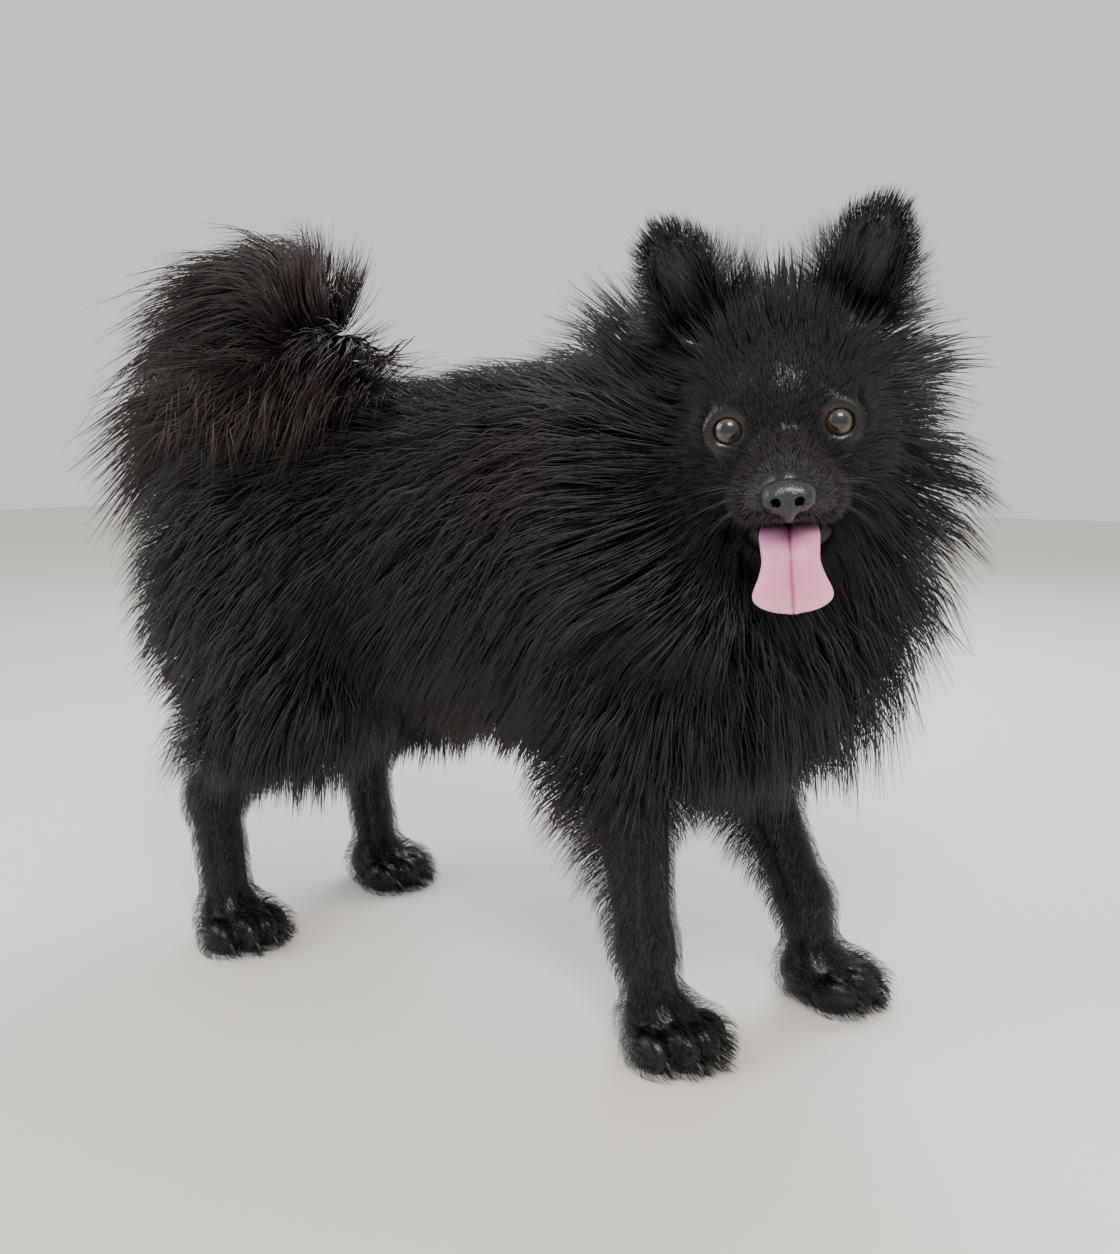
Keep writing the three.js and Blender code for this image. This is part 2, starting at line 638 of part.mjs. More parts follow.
// The tail: its own undercoat, and locks that fan out from the loop and droop back over the rump
const TAIL_UNDERCOAT = 17;
const tailCore = (p) => tailField(p) - TAIL_UNDERCOAT;
const tailLines = [gridLine(-224, [-44, 16.2]), gridLine(-82, [42, 15.5]), gridLine(235, [404, 16.5])];
const TAIL_ROOT_CUT = TAIL_CENTRE.z - 25;
const TAIL_SPLIT = TAIL_CENTRE.x - 4;
const tailHalf = {
  tail_base: (grow) => block(point(-FAR, -FAR, TAIL_ROOT_CUT), point(TAIL_SPLIT, FAR, FAR), grow),
  tail_end: (grow) =>
    block(point(TAIL_SPLIT + JOINT_GAP, -FAR, TAIL_ROOT_CUT), point(FAR, FAR, FAR), grow),
};
function tailLie(p) {
  const spoke = p.clone().sub(TAIL_CENTRE).setY(0);
  const up = spoke.z / Math.max(spoke.length(), 1);
  const way = spoke.normalize();
  way.add(point(-0.45, p.y > TAIL_CENTRE.y ? 0.25 : -0.35, -0.35));
  return { way: way.normalize(), length: up > 0 ? lerp(96, 52, up) : 100 };
}
function tailLock(t, random) {
  const spin = random() * 2 * Math.PI;
  const centre = tailPoint(t);
  const spoke = centre.clone().sub(TAIL_CENTRE).setY(0).normalize();
  const around = spoke.clone().multiplyScalar(Math.cos(spin)).add(point(0, Math.sin(spin), 0));
  if (around.dot(spoke) < -0.25) around.addScaledVector(spoke, 1.2).normalize();
  const at = centre.clone().addScaledVector(around, tailRadius(t) + TAIL_UNDERCOAT - ROOT_DEPTH);
  const reach = tailLie(at).length * lerp(0.8, 1.12, random());
  const path = [{ at: at.clone(), out: around.clone() }];
  const heading = around.clone().add(point(-0.2, 0, 0.1));
  for (let ring = 1; ring <= LOCK_RINGS; ring++) {
    const { way } = tailLie(at);
    heading.lerp(way, 0.55).add(point(0, 0, -0.14 * ring)).normalize();
    const lift = slope(flesh, at);
    const short = coatAt(at).standOff + 6 - flesh(at);
    const step = reach / LOCK_RINGS;
    const turned = heading.clone().addScaledVector(lift, clamp(short / step, 0, 1.4)).normalize();
    at.addScaledVector(turned, step);
    const out = at.clone().sub(TAIL_CENTRE).normalize().add(point(0, Math.sign(around.y) * 0.6, 0));
    path.push({ at: at.clone(), out: out.normalize() });
  }
  return { path, halfWidth: reach * 0.12 * lerp(0.85, 1.15, random()) };
}
const tailLocks = (() => {
  const random = dice(15);
  const place = (i) => lerp(0.04, 1, (i + 0.5) / TAIL_LOCKS);
  return Array.from({ length: TAIL_LOCKS }, (_, i) => tailLock(place(i), random));
})();

// Locks of the head, the neck and the trunk. A lower piece leaves out the locks that would run through those
// of the pieces above it.
const bodyLow = point(-200, -110, 60);
const bodyHigh = point(230, 110, 370);
const lockSets = {
  tail_base: tailLocks.filter(({ path }) => path[0].at.x < TAIL_SPLIT - 6),
  tail_end: tailLocks.filter(({ path }) => path[0].at.x > TAIL_SPLIT + 6),
};
const keptClear = [];
function runsInto(path) {
  return keptClear.some((other) =>
    path.slice(1).some(({ at }) => other.path.slice(1).some((mark) => mark.at.distanceTo(at) < 9)),
  );
}
keptClear.push(...tailLocks);
let seed = 20;
for (const name of ["head", "neck", "torso", "thigh_left", "thigh_right"]) {
  const random = dice(++seed);
  const admits = (p) => wellWithin(name, p) && coatDepth(p) > 12 && tailField(p) > 8;
  const spacing = { head: 0.64, neck: 0.78, torso: 0.98 }[name] ?? 0.9;
  const roots = spreadRoots(bodyLow, bodyHigh, admits, random, spacing);
  const locks = roots.map((root) => comb(root, coatAt, random));
  lockSets[name] = locks.filter(({ path }) => name === "head" || !runsInto(path));
  keptClear.push(...lockSets[name]);
}
const withLocks = (name, core, grow) =>
  joined([core, ...(lockSets[name] ?? []).map((lock) => lockSolid(lock, grow))]);

for (const name of ["tail_base", "tail_end"])
  builders[name] = (grow) =>
    withLocks(name, surfaceOf(tailCore, tailLines, grow).intersect(tailHalf[name](grow)), grow);

const lid = (s, grow) =>
  solidOf(
    new THREE.TorusGeometry(7.2, 1.7 + grow, 5, 11).rotateY(Math.PI / 2).scale(1, 1.12, 0.98),
    headFrame.clone().multiply(new THREE.Matrix4().setPosition(EYE_DEPTH + 4.6, s * EYE_Y, 0)),
  );
builders.head = (grow) => {
  const lines = [
    gridLine(-84, [-24, 15], [46, 6.2]),
    gridLine(-86, [-35, 16], [35, 5.9], [86, 16]),
    gridLine(-80, [-48, 13], [22, 6.2], [94, 15]),
  ];
  const whole = surfaceOf(undercoat, lines, grow, headFrame);
  const core = joined([whole, ...SIDES.map((s) => lid(s, grow))]).intersect(headBox(grow));
  return withLocks("head", core, grow);
};
const bodyLines = [gridLine(-218, [242, 20.5]), gridLine(-112, [112, 20.4]), gridLine(88, [380, 20.5])];
builders.neck = (grow) =>
  withLocks(
    "neck",
    surfaceOf(undercoat, bodyLines, grow).intersect(neckBox(grow)).subtract(headBox(SEAM - grow)),
    grow,
  );
// The upper end of each leg meets the trunk on a level face
const legRoom = (leg, grow) =>
  block(
    point(leg.joints[1].x - 62, leg.side > 0 ? 12 : -FAR, -FAR),
    point(leg.joints[1].x + 62, leg.side > 0 ? FAR : -12, leg.top),
    grow,
  );
builders.torso = (grow) => {
  const core = surfaceOf(undercoat, bodyLines, grow)
    .subtract(headBox(SEAM - grow))
    .subtract(neckBox(SEAM - grow));
  const rooms = [
    ...SIDES.map((s) => thighBox(s, SEAM - grow)),
    ...legs.map((leg) => legRoom(leg, SEAM - grow)),
  ];
  return withLocks("torso", largest(rooms.reduce((rest, box) => rest.subtract(box), core)), grow);
};
for (const s of SIDES) {
  const name = `thigh_${SIDE_NAME[s]}`;
  builders[name] = (grow) =>
    withLocks(name, surfaceOf(undercoat, bodyLines, grow).intersect(thighBox(s, grow)), grow);
}

const LOOKS = {
  coat: { color: 0x0b0b0d, roughness: 0.72, metalness: 0 },
  eye: { color: 0x2a1a10, roughness: 0.08, metalness: 0 },
  nose: { color: 0x131315, roughness: 0.4, metalness: 0 },
  tongue: { color: 0xe893b0, roughness: 0.35, metalness: 0 },
};
const looksOf = (name) => LOOKS[name.split("_")[0]] ?? LOOKS.coat;

const dog = new THREE.Group();
const grownBefore = [];
const solids = {};
for (const [name, build] of Object.entries(builders)) {
  let solid = build(0);
  for (const grown of grownBefore) solid = solid.subtract(grown);
  for (const other of Object.values(solids))
    if (solid.intersect(other).volume() > 1e-3) solid = solid.subtract(other);
  solids[name] = largest(solid);
  grownBefore.push(build(JOINT_GAP));
}

for (const [name, solid] of Object.entries(solids)) {
  const { vertProperties, triVerts } = solid.getMesh();
  const geometry = new THREE.BufferGeometry()
    .setAttribute("position", new THREE.BufferAttribute(vertProperties, 3))
    .setIndex(new THREE.BufferAttribute(triVerts, 1));
  const mesh = new THREE.Mesh(geometry, new THREE.MeshStandardMaterial(looksOf(name)));
  mesh.name = name;
  dog.add(mesh);
}

// The origin is on the floor, in the middle of the whole outline
const outline = new THREE.Box3().setFromObject(dog, true);
dog.position.set(-(outline.min.x + outline.max.x) / 2, -(outline.min.y + outline.max.y) / 2, 0);

export default dog;
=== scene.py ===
"""A black pomeranian as a life-size museum model: skin, eyes, nose, tongue, claws, whiskers and coat.

The dog's own frame is in millimetres: X runs from the hind feet to the chest, Y to its left side, Z up from
the floor. Every form is a distance field built from the same named sizes, so the skin and the coat agree.
"""

from __future__ import annotations

import logging
import math
from dataclasses import dataclass, field
from enum import Enum
from typing import Callable, Sequence

import bpy
import numpy as np
from mathutils import Matrix, Vector
from mathutils.kdtree import KDTree

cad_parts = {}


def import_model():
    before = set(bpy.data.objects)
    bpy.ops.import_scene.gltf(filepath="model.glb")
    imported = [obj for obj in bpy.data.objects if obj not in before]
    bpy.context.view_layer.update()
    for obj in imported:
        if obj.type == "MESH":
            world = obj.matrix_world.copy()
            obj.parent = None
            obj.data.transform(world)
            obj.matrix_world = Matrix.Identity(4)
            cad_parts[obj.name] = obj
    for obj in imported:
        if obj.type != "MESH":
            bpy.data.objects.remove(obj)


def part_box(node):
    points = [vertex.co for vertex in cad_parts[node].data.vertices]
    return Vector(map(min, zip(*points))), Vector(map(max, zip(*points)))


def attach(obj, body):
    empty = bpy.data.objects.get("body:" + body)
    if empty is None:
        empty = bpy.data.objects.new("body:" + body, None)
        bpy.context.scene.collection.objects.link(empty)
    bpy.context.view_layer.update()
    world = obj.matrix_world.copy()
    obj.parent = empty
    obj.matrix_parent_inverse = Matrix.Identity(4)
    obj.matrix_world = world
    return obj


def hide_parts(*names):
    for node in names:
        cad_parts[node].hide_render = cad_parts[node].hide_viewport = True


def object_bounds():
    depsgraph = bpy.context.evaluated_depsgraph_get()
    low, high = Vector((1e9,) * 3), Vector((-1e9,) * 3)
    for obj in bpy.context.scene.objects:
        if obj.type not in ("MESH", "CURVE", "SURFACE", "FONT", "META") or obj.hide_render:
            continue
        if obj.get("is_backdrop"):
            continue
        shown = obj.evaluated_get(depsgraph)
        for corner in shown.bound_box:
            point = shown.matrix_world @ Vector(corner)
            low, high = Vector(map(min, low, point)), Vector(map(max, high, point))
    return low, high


LOG = logging.getLogger("pomeranian")

WITHERS = 294.0  # height of the skin over the shoulders, in millimetres
STANCE = 280.0  # from the hind feet to the fore feet
EYE_SPACING = 43.0  # between the pupils
MUZZLE = 34.0  # from the eyes forward to the tip of the nose
HEAD_TURN = math.radians(-69.3)  # toward the camera
HEAD_ROLL = math.radians(4.7)
EYE_RADIUS = 8.5
EYE_DEPTH = -7.5  # the eyeballs' middles, behind the line of the pupils
CHEST_DEPTH = 0.5 * WITHERS
CHEST_HALF_WIDTH = 0.18 * WITHERS
FORE_X = STANCE / 2
HIND_X = -STANCE / 2
CHEST_Z = WITHERS - CHEST_DEPTH / 2
EYES = (FORE_X + 32.0, -64.0, WITHERS - 9.0)  # midway between the pupils, in the dog's frame
NOSE = (MUZZLE - 3.0, 0.0, -25.5)  # middle of the nose leather, in the head's frame
SHORT_HAIR = 1.5  # stand-off of the face's and the legs' hair
FAR = 1000.0
SIDES = (1.0, -1.0)
MM = 0.001

Array = np.ndarray
Field = Callable[[Array], Array]
Triple = tuple[float, float, float]


def vec(*values: float) -> Array:
    """A point or a direction as an array."""
    return np.array(values, dtype=np.float64)


def unit(v: Array) -> Array:
    """Rows scaled to length one."""
    return v / np.maximum(np.linalg.norm(v, axis=-1, keepdims=True), 1e-9)


def smoothstep(x: Array, low: float, high: float) -> Array:
    """A smooth rise from 0 at low to 1 at high."""
    t = np.clip((x - low) / (high - low), 0.0, 1.0)
    return t * t * (3.0 - 2.0 * t)


def ellipsoid(centre: Array, radii: Array) -> Field:
    """Distance field of an ellipsoid.

    Args:
        centre: Its middle.
        radii: Its three half axes.

    Returns:
        A function of points, negative inside.
    """

    def distance(p: Array) -> Array:
        """Distances of points from the surface."""
        outer = (p - centre) / radii
        share = np.linalg.norm(outer, axis=1)
        inner = np.linalg.norm(outer / radii, axis=1)
        return share * (share - 1.0) / np.maximum(inner, 1e-9)

    return distance


def limb(start: Array, end: Array, start_radius: float, end_radius: float) -> Field:
    """Distance field of a round limb that tapers from one end to the other.

    Args:
        start: First end of its middle line.
        end: Last end of its middle line.
        start_radius: Radius at the first end.
        end_radius: Radius at the last end.

    Returns:
        A function of points, negative inside.
    """
    run = end - start
    square = float(run @ run)

    def distance(p: Array) -> Array:
        """Distances of points from the surface."""
        t = np.clip((p - start) @ run / square, 0.0, 1.0)
        radius = start_radius + (end_radius - start_radius) * t
        return np.linalg.norm(p - start - t[:, None] * run, axis=1) - radius

    return distance


def ring(centre: Array, radius_y: float, radius_z: float, thickness: float) -> Field:
    """Distance field of an oval ring that faces along X, as a lid round an eye.

    Args:
        centre: Middle of the ring.
        radius_y: Half its width.
        radius_z: Half its height.
        thickness: Radius of its section.

    Returns:
        A function of points, negative inside.
    """

    def distance(p: Array) -> Array:
        """Distances of points from the surface."""
        q = p - centre
        stretched = np.hypot(q[:, 1] / radius_y, q[:, 2] / radius_z)
        across = (stretched - 1.0) * 0.5 * (radius_y + radius_z)
        return np.hypot(across, q[:, 0]) - thickness

    return distance


def blend(reach: float, *fields: Field) -> Field:
    """Smooth union of several fields.

    Args:
        reach: How far from each other two surfaces start to flow together.
        fields: The forms to join, from the first to the last.

    Returns:
        The joined field.
    """

    def distance(p: Array) -> Array:
        """Distances of points from the surface."""
        best = fields[0](p)
        for each in fields[1:]:
            other = each(p)
            near = np.maximum(reach - np.abs(best - other), 0.0) / reach
            best = np.minimum(best, other) - near * near * reach / 4.0
        return best

    return distance


def carve(reach: float, whole: Field, hollow: Field) -> Field:
    """One field with another cut out of it, the rim softened.

    Args:
        reach: Softness of the rim.
        whole: The form that is cut.
        hollow: The form that is taken away.

    Returns:
        The cut field.
    """

    def distance(p: Array) -> Array:
        """Distances of points from the surface."""
        solid = whole(p)
        gap = -hollow(p)
        near = np.maximum(reach - np.abs(solid - gap), 0.0) / reach
        return np.maximum(solid, gap) + near * near * reach / 4.0

    return distance


def slope(form: Field, p: Array) -> Array:
    """Unit directions in which a field rises.

    Args:
        form: The field.
        p: Points.

    Returns:
        One unit vector for each point.
    """
    step = 0.4
    columns = []
    for axis in range(3):
        shift = np.zeros(3)
        shift[axis] = step
        columns.append(form(p + shift) - form(p - shift))
    return unit(np.stack(columns, axis=1))


class HeadFrame:
    """The head's own frame: X out of the face, Y to the dog's left, Z up, from midway between the eyes."""

    def __init__(self) -> None:
        """Work out the turned and rolled axes."""
        forward = vec(math.cos(HEAD_TURN), math.sin(HEAD_TURN), 0.0)
        level = np.cross(vec(0.0, 0.0, 1.0), forward)
        left = level * math.cos(HEAD_ROLL) + vec(0.0, 0.0, math.sin(HEAD_ROLL))
        self.axes: Array = np.stack([forward, left, np.cross(forward, left)], axis=1)
        self.origin: Array = vec(*EYES)

    def out(self, p: Array) -> Array:
        """Head points to the dog's frame."""
        return p @ self.axes.T + self.origin

    def into(self, p: Array) -> Array:
        """Points of the dog's frame to the head's."""
        return (p - self.origin) @ self.axes

    def turn(self, d: Array) -> Array:
        """Head directions to the dog's frame."""
        return d @ self.axes.T

    def placed(self, form: Field) -> Field:
        """A field given in the head's frame, read in the dog's."""
        return lambda p: form(self.into(p))


HEAD = HeadFrame()


@dataclass(frozen=True)
class Leg:
    """One leg, from its upper joint down to its foot."""

    fore: bool
    side: float
    foot: Array
    toes_turn: float
    joints: tuple[Array, Array, Array]
    radii: tuple[float, float, float]
    ankle_radius: float = 11.5
    toe_gap: float = 11.2

    def bones(self) -> Field:
        """Field of the upper, middle and lower limb.

        Returns:
            The field, negative inside.
        """
        upper, middle, lower = self.joints
        ankle = self.foot + vec(-6.0, 0.0, 14.0)
        return blend(
            10.0,
            limb(upper, middle, self.radii[0], self.radii[1]),
            limb(middle, lower, self.radii[1], self.radii[2]),
            limb(lower, ankle, self.radii[2], self.ankle_radius),
        )

    def toe_places(self) -> list[tuple[float, float, float, float]]:
        """Each toe's X, Y, length and height in the paw's own frame.

        Returns:
            Four numbers for each of the four toes.
        """
        places = []
        for across in (-1.5, -0.5, 0.5, 1.5):
            outer = abs(across) > 1.0
            x, reach, tall = (7.0, 12.0, 9.5) if outer else (14.0, 13.0, 10.5)
            places.append((x, across * self.toe_gap, reach, tall))
        return places

    def to_foot(self, p: Array) -> Array:
        """Points of the dog's frame to the paw's.

        Args:
            p: Points in the dog's frame.

        Returns:
            The points in the paw's frame.
        """
        c, s = math.cos(math.radians(self.toes_turn)), math.sin(math.radians(self.toes_turn))
        q = p - self.foot
        return np.stack([c * q[:, 0] + s * q[:, 1], c * q[:, 1] - s * q[:, 0], q[:, 2]], axis=1)

    def from_foot(self, p: Array) -> Array:
        """Paw points to the dog's frame."""
        c, s = math.cos(math.radians(self.toes_turn)), math.sin(math.radians(self.toes_turn))
        return np.stack([c * p[:, 0] - s * p[:, 1], s * p[:, 0] + c * p[:, 1], p[:, 2]], axis=1) + self.foot

    def paw(self) -> Field:
        """Field of the pad and the four toes.

        Returns:
            The field in the dog's frame.
        """
        toes = [
            ellipsoid(vec(x, y, tall - 1.2), vec(reach, 7.3, tall))
            for x, y, reach, tall in self.toe_places()
        ]
        whole = blend(2.6, ellipsoid(vec(-5.0, 0.0, 13.0), vec(19.0, 17.5, 14.5)), *toes)
        return lambda p: whole(self.to_foot(p))


def make_legs() -> list[Leg]:
    """The four legs in the stance of the pose.

    Returns:
        The left fore and hind leg, then the right ones.
    """
    legs = []
    for s in SIDES:
        fore = FORE_X + 22.0 if s > 0 else FORE_X - 22.0
        hind = HIND_X + 7.0 if s > 0 else HIND_X - 6.0
        shoulder = vec(118.0, s * 38.0, 192.0)
        elbow = vec(106.0 if s > 0 else 93.0, s * 44.0, 142.0)
        wrist = vec(fore - 13.0, s * 46.0, 48.0)
        toes_turn = 8.0 if s > 0 else -24.0
        fore_foot = vec(fore, s * 46.5, 0.0)
        legs.append(Leg(True, s, fore_foot, toes_turn, (shoulder, elbow, wrist), (26.0, 19.0, 12.0)))
        hip = vec(-124.0, s * 38.0, 222.0)
        knee = vec(hind + 52.0, s * 50.0, 158.0)
        hock = vec(hind - 16.0, s * 57.0, 82.0)
        toes_turn = 6.0 if s > 0 else -12.0
        hind_foot = vec(hind, s * 58.0, 0.0)
        legs.append(Leg(False, s, hind_foot, toes_turn, (hip, knee, hock), (36.0, 26.0, 13.0)))
    return legs


LEGS = make_legs()


@dataclass(frozen=True)
class TailLoop:
    """The tail's bone: a loop that rises from the rump and turns forward over it."""

    centre: Array = field(default_factory=lambda: vec(HIND_X + 10.0, -4.0, WITHERS + 26.0))
    root_angle: float = math.radians(238.0)
    span: float = 0.86
    loop_radii: tuple[float, float] = (44.0, 26.0)
    bone_radii: tuple[float, float] = (13.0, 7.0)
    aside: float = -32.0
    steps: int = 12

    def at(self, t: Array) -> Array:
        """Points of the middle line.

        Args:
            t: Shares of its length, from 0 at the root to 1 at the tip.

        Returns:
            One point for each share.
        """
        angle = self.root_angle - t * self.span * 2.0 * math.pi
        radius = self.loop_radii[0] - (self.loop_radii[0] - self.loop_radii[1]) * t
        offset = np.stack([radius * np.cos(angle), self.aside * t, radius * np.sin(angle)], axis=-1)
        return self.centre + offset

    def radius(self, t: Array) -> Array:
        """Thickness of the tail along it."""
        return self.bone_radii[0] - (self.bone_radii[0] - self.bone_radii[1]) * t

    def form(self) -> Field:
        """Field of the tail without its coat.

        Returns:
            The field, negative inside.
        """
        shares = np.linspace(0.0, 1.0, self.steps + 1)
        points, radii = self.at(shares), self.radius(shares)
        parts = [limb(points[i], points[i + 1], radii[i], radii[i + 1]) for i in range(self.steps)]
        return blend(4.0, *parts)


TAIL = TailLoop()


class Anatomy:
    """The dog's bare form as distance fields, from the trunk to the folds of the face."""

    def __init__(self) -> None:
        """Build each region's field once."""
        self.trunk = self._trunk()
        self.skull = HEAD.placed(self._skull())
        self.tail = TAIL.form()
        limbs = [blend(6.0, leg.bones(), leg.paw()) for leg in LEGS]
        neck = limb(vec(100.0, 0.0, WITHERS - 48.0), vec(138.0, -2.0, WITHERS - 22.0), 46.0, 38.0)
        self.flesh = blend(16.0, blend(22.0, self.trunk, neck), *limbs, self.skull)
        self.body = blend(8.0, self.flesh, self.tail)
        self.skin = self._with_face(self.body)

    def _trunk(self) -> Field:
        """Chest, ribs, loin, pelvis, forechest, shoulders and thighs.

        Returns:
            Their joined field.
        """
        return blend(
            26.0,
            ellipsoid(vec(90.0, 0.0, CHEST_Z), vec(62.0, CHEST_HALF_WIDTH - 2.0, CHEST_DEPTH / 2)),
            ellipsoid(vec(25.0, 0.0, CHEST_Z + 3), vec(82.0, CHEST_HALF_WIDTH + 2.0, CHEST_DEPTH / 2 - 5)),
            ellipsoid(vec(-55.0, 0.0, CHEST_Z + 13), vec(74.0, CHEST_HALF_WIDTH - 8.0, CHEST_DEPTH / 2 - 19)),
            ellipsoid(vec(HIND_X + 22, 0.0, CHEST_Z + 20), vec(50.0, CHEST_HALF_WIDTH - 10.0, 48.0)),
            ellipsoid(vec(134.0, 0.0, CHEST_Z - 14), vec(34.0, 34.0, 44.0)),
            *[ellipsoid(vec(100.0, s * 36.0, CHEST_Z + 6), vec(36.0, 22.0, 54.0)) for s in SIDES],
            *[ellipsoid(vec(HIND_X + 16, s * 40.0, CHEST_Z - 14), vec(40.0, 24.0, 58.0)) for s in SIDES],
        )

    def _skull(self) -> Field:
        """Cranium, cheeks, brows, muzzle and upper lips, in the head's frame.

        Returns:
            Their joined field.
        """
        back = blend(
            12.0,
            ellipsoid(vec(-34.0, 0.0, 10.0), vec(38.0, 34.0, 32.0)),
            *[ellipsoid(vec(-28.0, s * 20.0, -12.0), vec(27.0, 18.0, 22.0)) for s in SIDES],
            limb(vec(-34.0, 0.0, -20.0), vec(-62.0, 0.0, -26.0), 22.0, 32.0),
        )
        brows = [ellipsoid(vec(-10.0, s * (EYE_SPACING / 2 - 3), 9.0), vec(9.0, 11.0, 7.0)) for s in SIDES]
        lips = [ellipsoid(vec(9.0, s * 11.0, -27.0), vec(17.0, 9.5, 9.5)) for s in SIDES]
        muzzle = limb(vec(-10.0, 0.0, -13.0), vec(MUZZLE - 11, 0.0, -24.0), 16.5, 10.5)
        return blend(7.0, back, *brows, muzzle, *lips)

    def _with_face(self, body: Field) -> Field:
        """Ears, mouth, jaw, eye sockets, lids and the groove under the nose added to the body.

        Args:
            body: The body's field.

        Returns:
            The whole skin's field.
        """
        mouth = HEAD.placed(
            blend(
                3.0,
                ellipsoid(vec(-4.0, 0.0, -41.5), vec(26.0, 17.0, 6.0)),
                ellipsoid(vec(14.0, 0.0, -43.0), vec(16.0, 12.5, 5.5)),
            )
        )
        jaw = HEAD.placed(
            carve(
                3.0,
                blend(
                    8.0,
                    limb(vec(-34.0, 0.0, -36.0), vec(8.0, 0.0, -50.0), 12.0, 7.5),
                    ellipsoid(vec(-20.0, 0.0, -43.0), vec(22.0, 19.0, 9.0)),
                ),
                ellipsoid(vec(2.0, 0.0, -41.0), vec(22.0, 11.0, 6.5)),
            )
        )
        face = blend(4.0, carve(3.0, body, mouth), jaw)
        for s in SIDES:
            eye = vec(EYE_DEPTH, s * EYE_SPACING / 2, 0.0)
            face = carve(1.6, face, HEAD.placed(ellipsoid(eye, vec(*[EYE_RADIUS + 0.15] * 3))))
            upper = ring(eye + vec(5.3, 0.0, 0.0), 7.1, 6.5, 1.25)
            lower = ring(eye + vec(4.2, 0.0, -0.6), 9.2, 8.6, 1.5)
            face = blend(2.2, face, HEAD.placed(upper))
            face = blend(5.0, face, HEAD.placed(lower))
            face = blend(7.0, face, self.ear(s))
        philtrum = HEAD.placed(limb(vec(36.0, 0.0, -33.0), vec(27.0, 0.0, -39.0), 0.8, 1.1))
        return carve(1.5, face, philtrum)

    def ear(self, s: float) -> Field:
        """One ear: an upright rounded shell with its cup turned forward.

        Args:
            s: 1 for the left ear, -1 for the right one.

        Returns:
            The ear's field in the dog's frame.
        """
        ear = Ear(s)
        shell = ellipsoid(vec(0.0, 0.0, 0.0), ear.radii)
        cup = ellipsoid(vec(7.0, s * 0.5, -1.0), vec(8.0, 12.0, 22.5))
        hollow = carve(2.0, shell, cup)
        return lambda p: hollow(ear.into(p))


@dataclass(frozen=True)
class Ear:
    """Place, lean and size of one ear's shell."""

    side: float
    place: Triple = (-38.0, 36.0, 58.0)
    radii: Array = field(default_factory=lambda: vec(8.5, 15.5, 28.0))
    lean: float = math.radians(20.0)

    def into(self, p: Array) -> Array:
        """Points of the dog's frame to the ear's own, upright one.

        Args:
            p: Points in the dog's frame.

        Returns:
            The points in the ear's frame.
        """
        q = HEAD.into(p) - vec(*self.place) * vec(1.0, self.side, 1.0)
        c, n = math.cos(self.lean), -self.side * math.sin(self.lean)
        return np.stack([q[:, 0], c * q[:, 1] + n * q[:, 2], c * q[:, 2] - n * q[:, 1]], axis=1)

    def turn(self, d: Array) -> Array:
        """Directions of the ear's own frame to the dog's."""
        c, n = math.cos(self.lean), -self.side * math.sin(self.lean)
        return HEAD.turn(np.stack([d[:, 0], c * d[:, 1] - n * d[:, 2], c * d[:, 2] + n * d[:, 1]], axis=1))

    def near(self, p: Array) -> Array:
        """How much points belong to the ear.

        Args:
            p: Points in the dog's frame.

        Returns:
            A share from 0 to 1 for each point.
        """
        q = self.into(p)
        outer = np.linalg.norm(q / self.radii, axis=1)
        return (1.0 - smoothstep(outer, 1.2, 1.6)) * smoothstep(q[:, 2], -20.0, -10.0)


@dataclass(frozen=True)
class Stroke:
    """One stroke of the comb: where it is, how the hair lies there, its length and its stand-off."""

    at: Triple
    way: Triple
    length: float
    stand_off: float


BODY_STROKES = (
    Stroke((70, 0, WITHERS), (-1, 0, 0.1), 55, 24),
    Stroke((-20, 0, WITHERS), (-1, 0, 0), 50, 22),
    Stroke((-100, 0, WITHERS - 4), (-1, 0.2, 0.1), 50, 26),
    Stroke((40, 48, WITHERS - 30), (-0.8, 0.1, -0.6), 62, 27),
    Stroke((-60, 44, WITHERS - 30), (-0.85, 0.1, -0.5), 60, 27),
    Stroke((60, 58, CHEST_Z), (-0.5, 0, -1), 64, 30),
    Stroke((-40, 52, CHEST_Z), (-0.6, 0, -0.9), 66, 30),
    Stroke((50, 46, CHEST_Z - 50), (-0.5, 0.05, -1), 46, 26),
    Stroke((-50, 40, CHEST_Z - 40), (-0.5, 0, -1), 46, 26),
    Stroke((20, 0, CHEST_Z - 72), (-0.45, 0, -1), 42, 34),
    Stroke((-90, 0, CHEST_Z - 28), (-0.5, 0, -1), 40, 30),
    Stroke((118, 58, CHEST_Z), (-0.25, 0.1, -1), 74, 36),
    Stroke((166, 0, CHEST_Z - 10), (0.1, 0, -1), 76, 42),
    Stroke((150, 34, CHEST_Z - 40), (0.05, 0.12, -1), 62, 38),
    Stroke((130, 0, CHEST_Z - 66), (0, 0, -1), 50, 38),
    Stroke((100, 40, CHEST_Z - 70), (-0.5, 0, -1), 34, 20),
    Stroke((-120, 62, CHEST_Z), (-0.6, 0.05, -0.8), 60, 28),
    Stroke((-110, 58, CHEST_Z - 55), (-0.45, 0, -1), 50, 24),
    Stroke((-172, 20, CHEST_Z + 10), (-0.7, 0.1, -0.8), 66, 46),
    Stroke((-160, 45, CHEST_Z - 40), (-0.7, 0.1, -0.9), 62, 40),
)

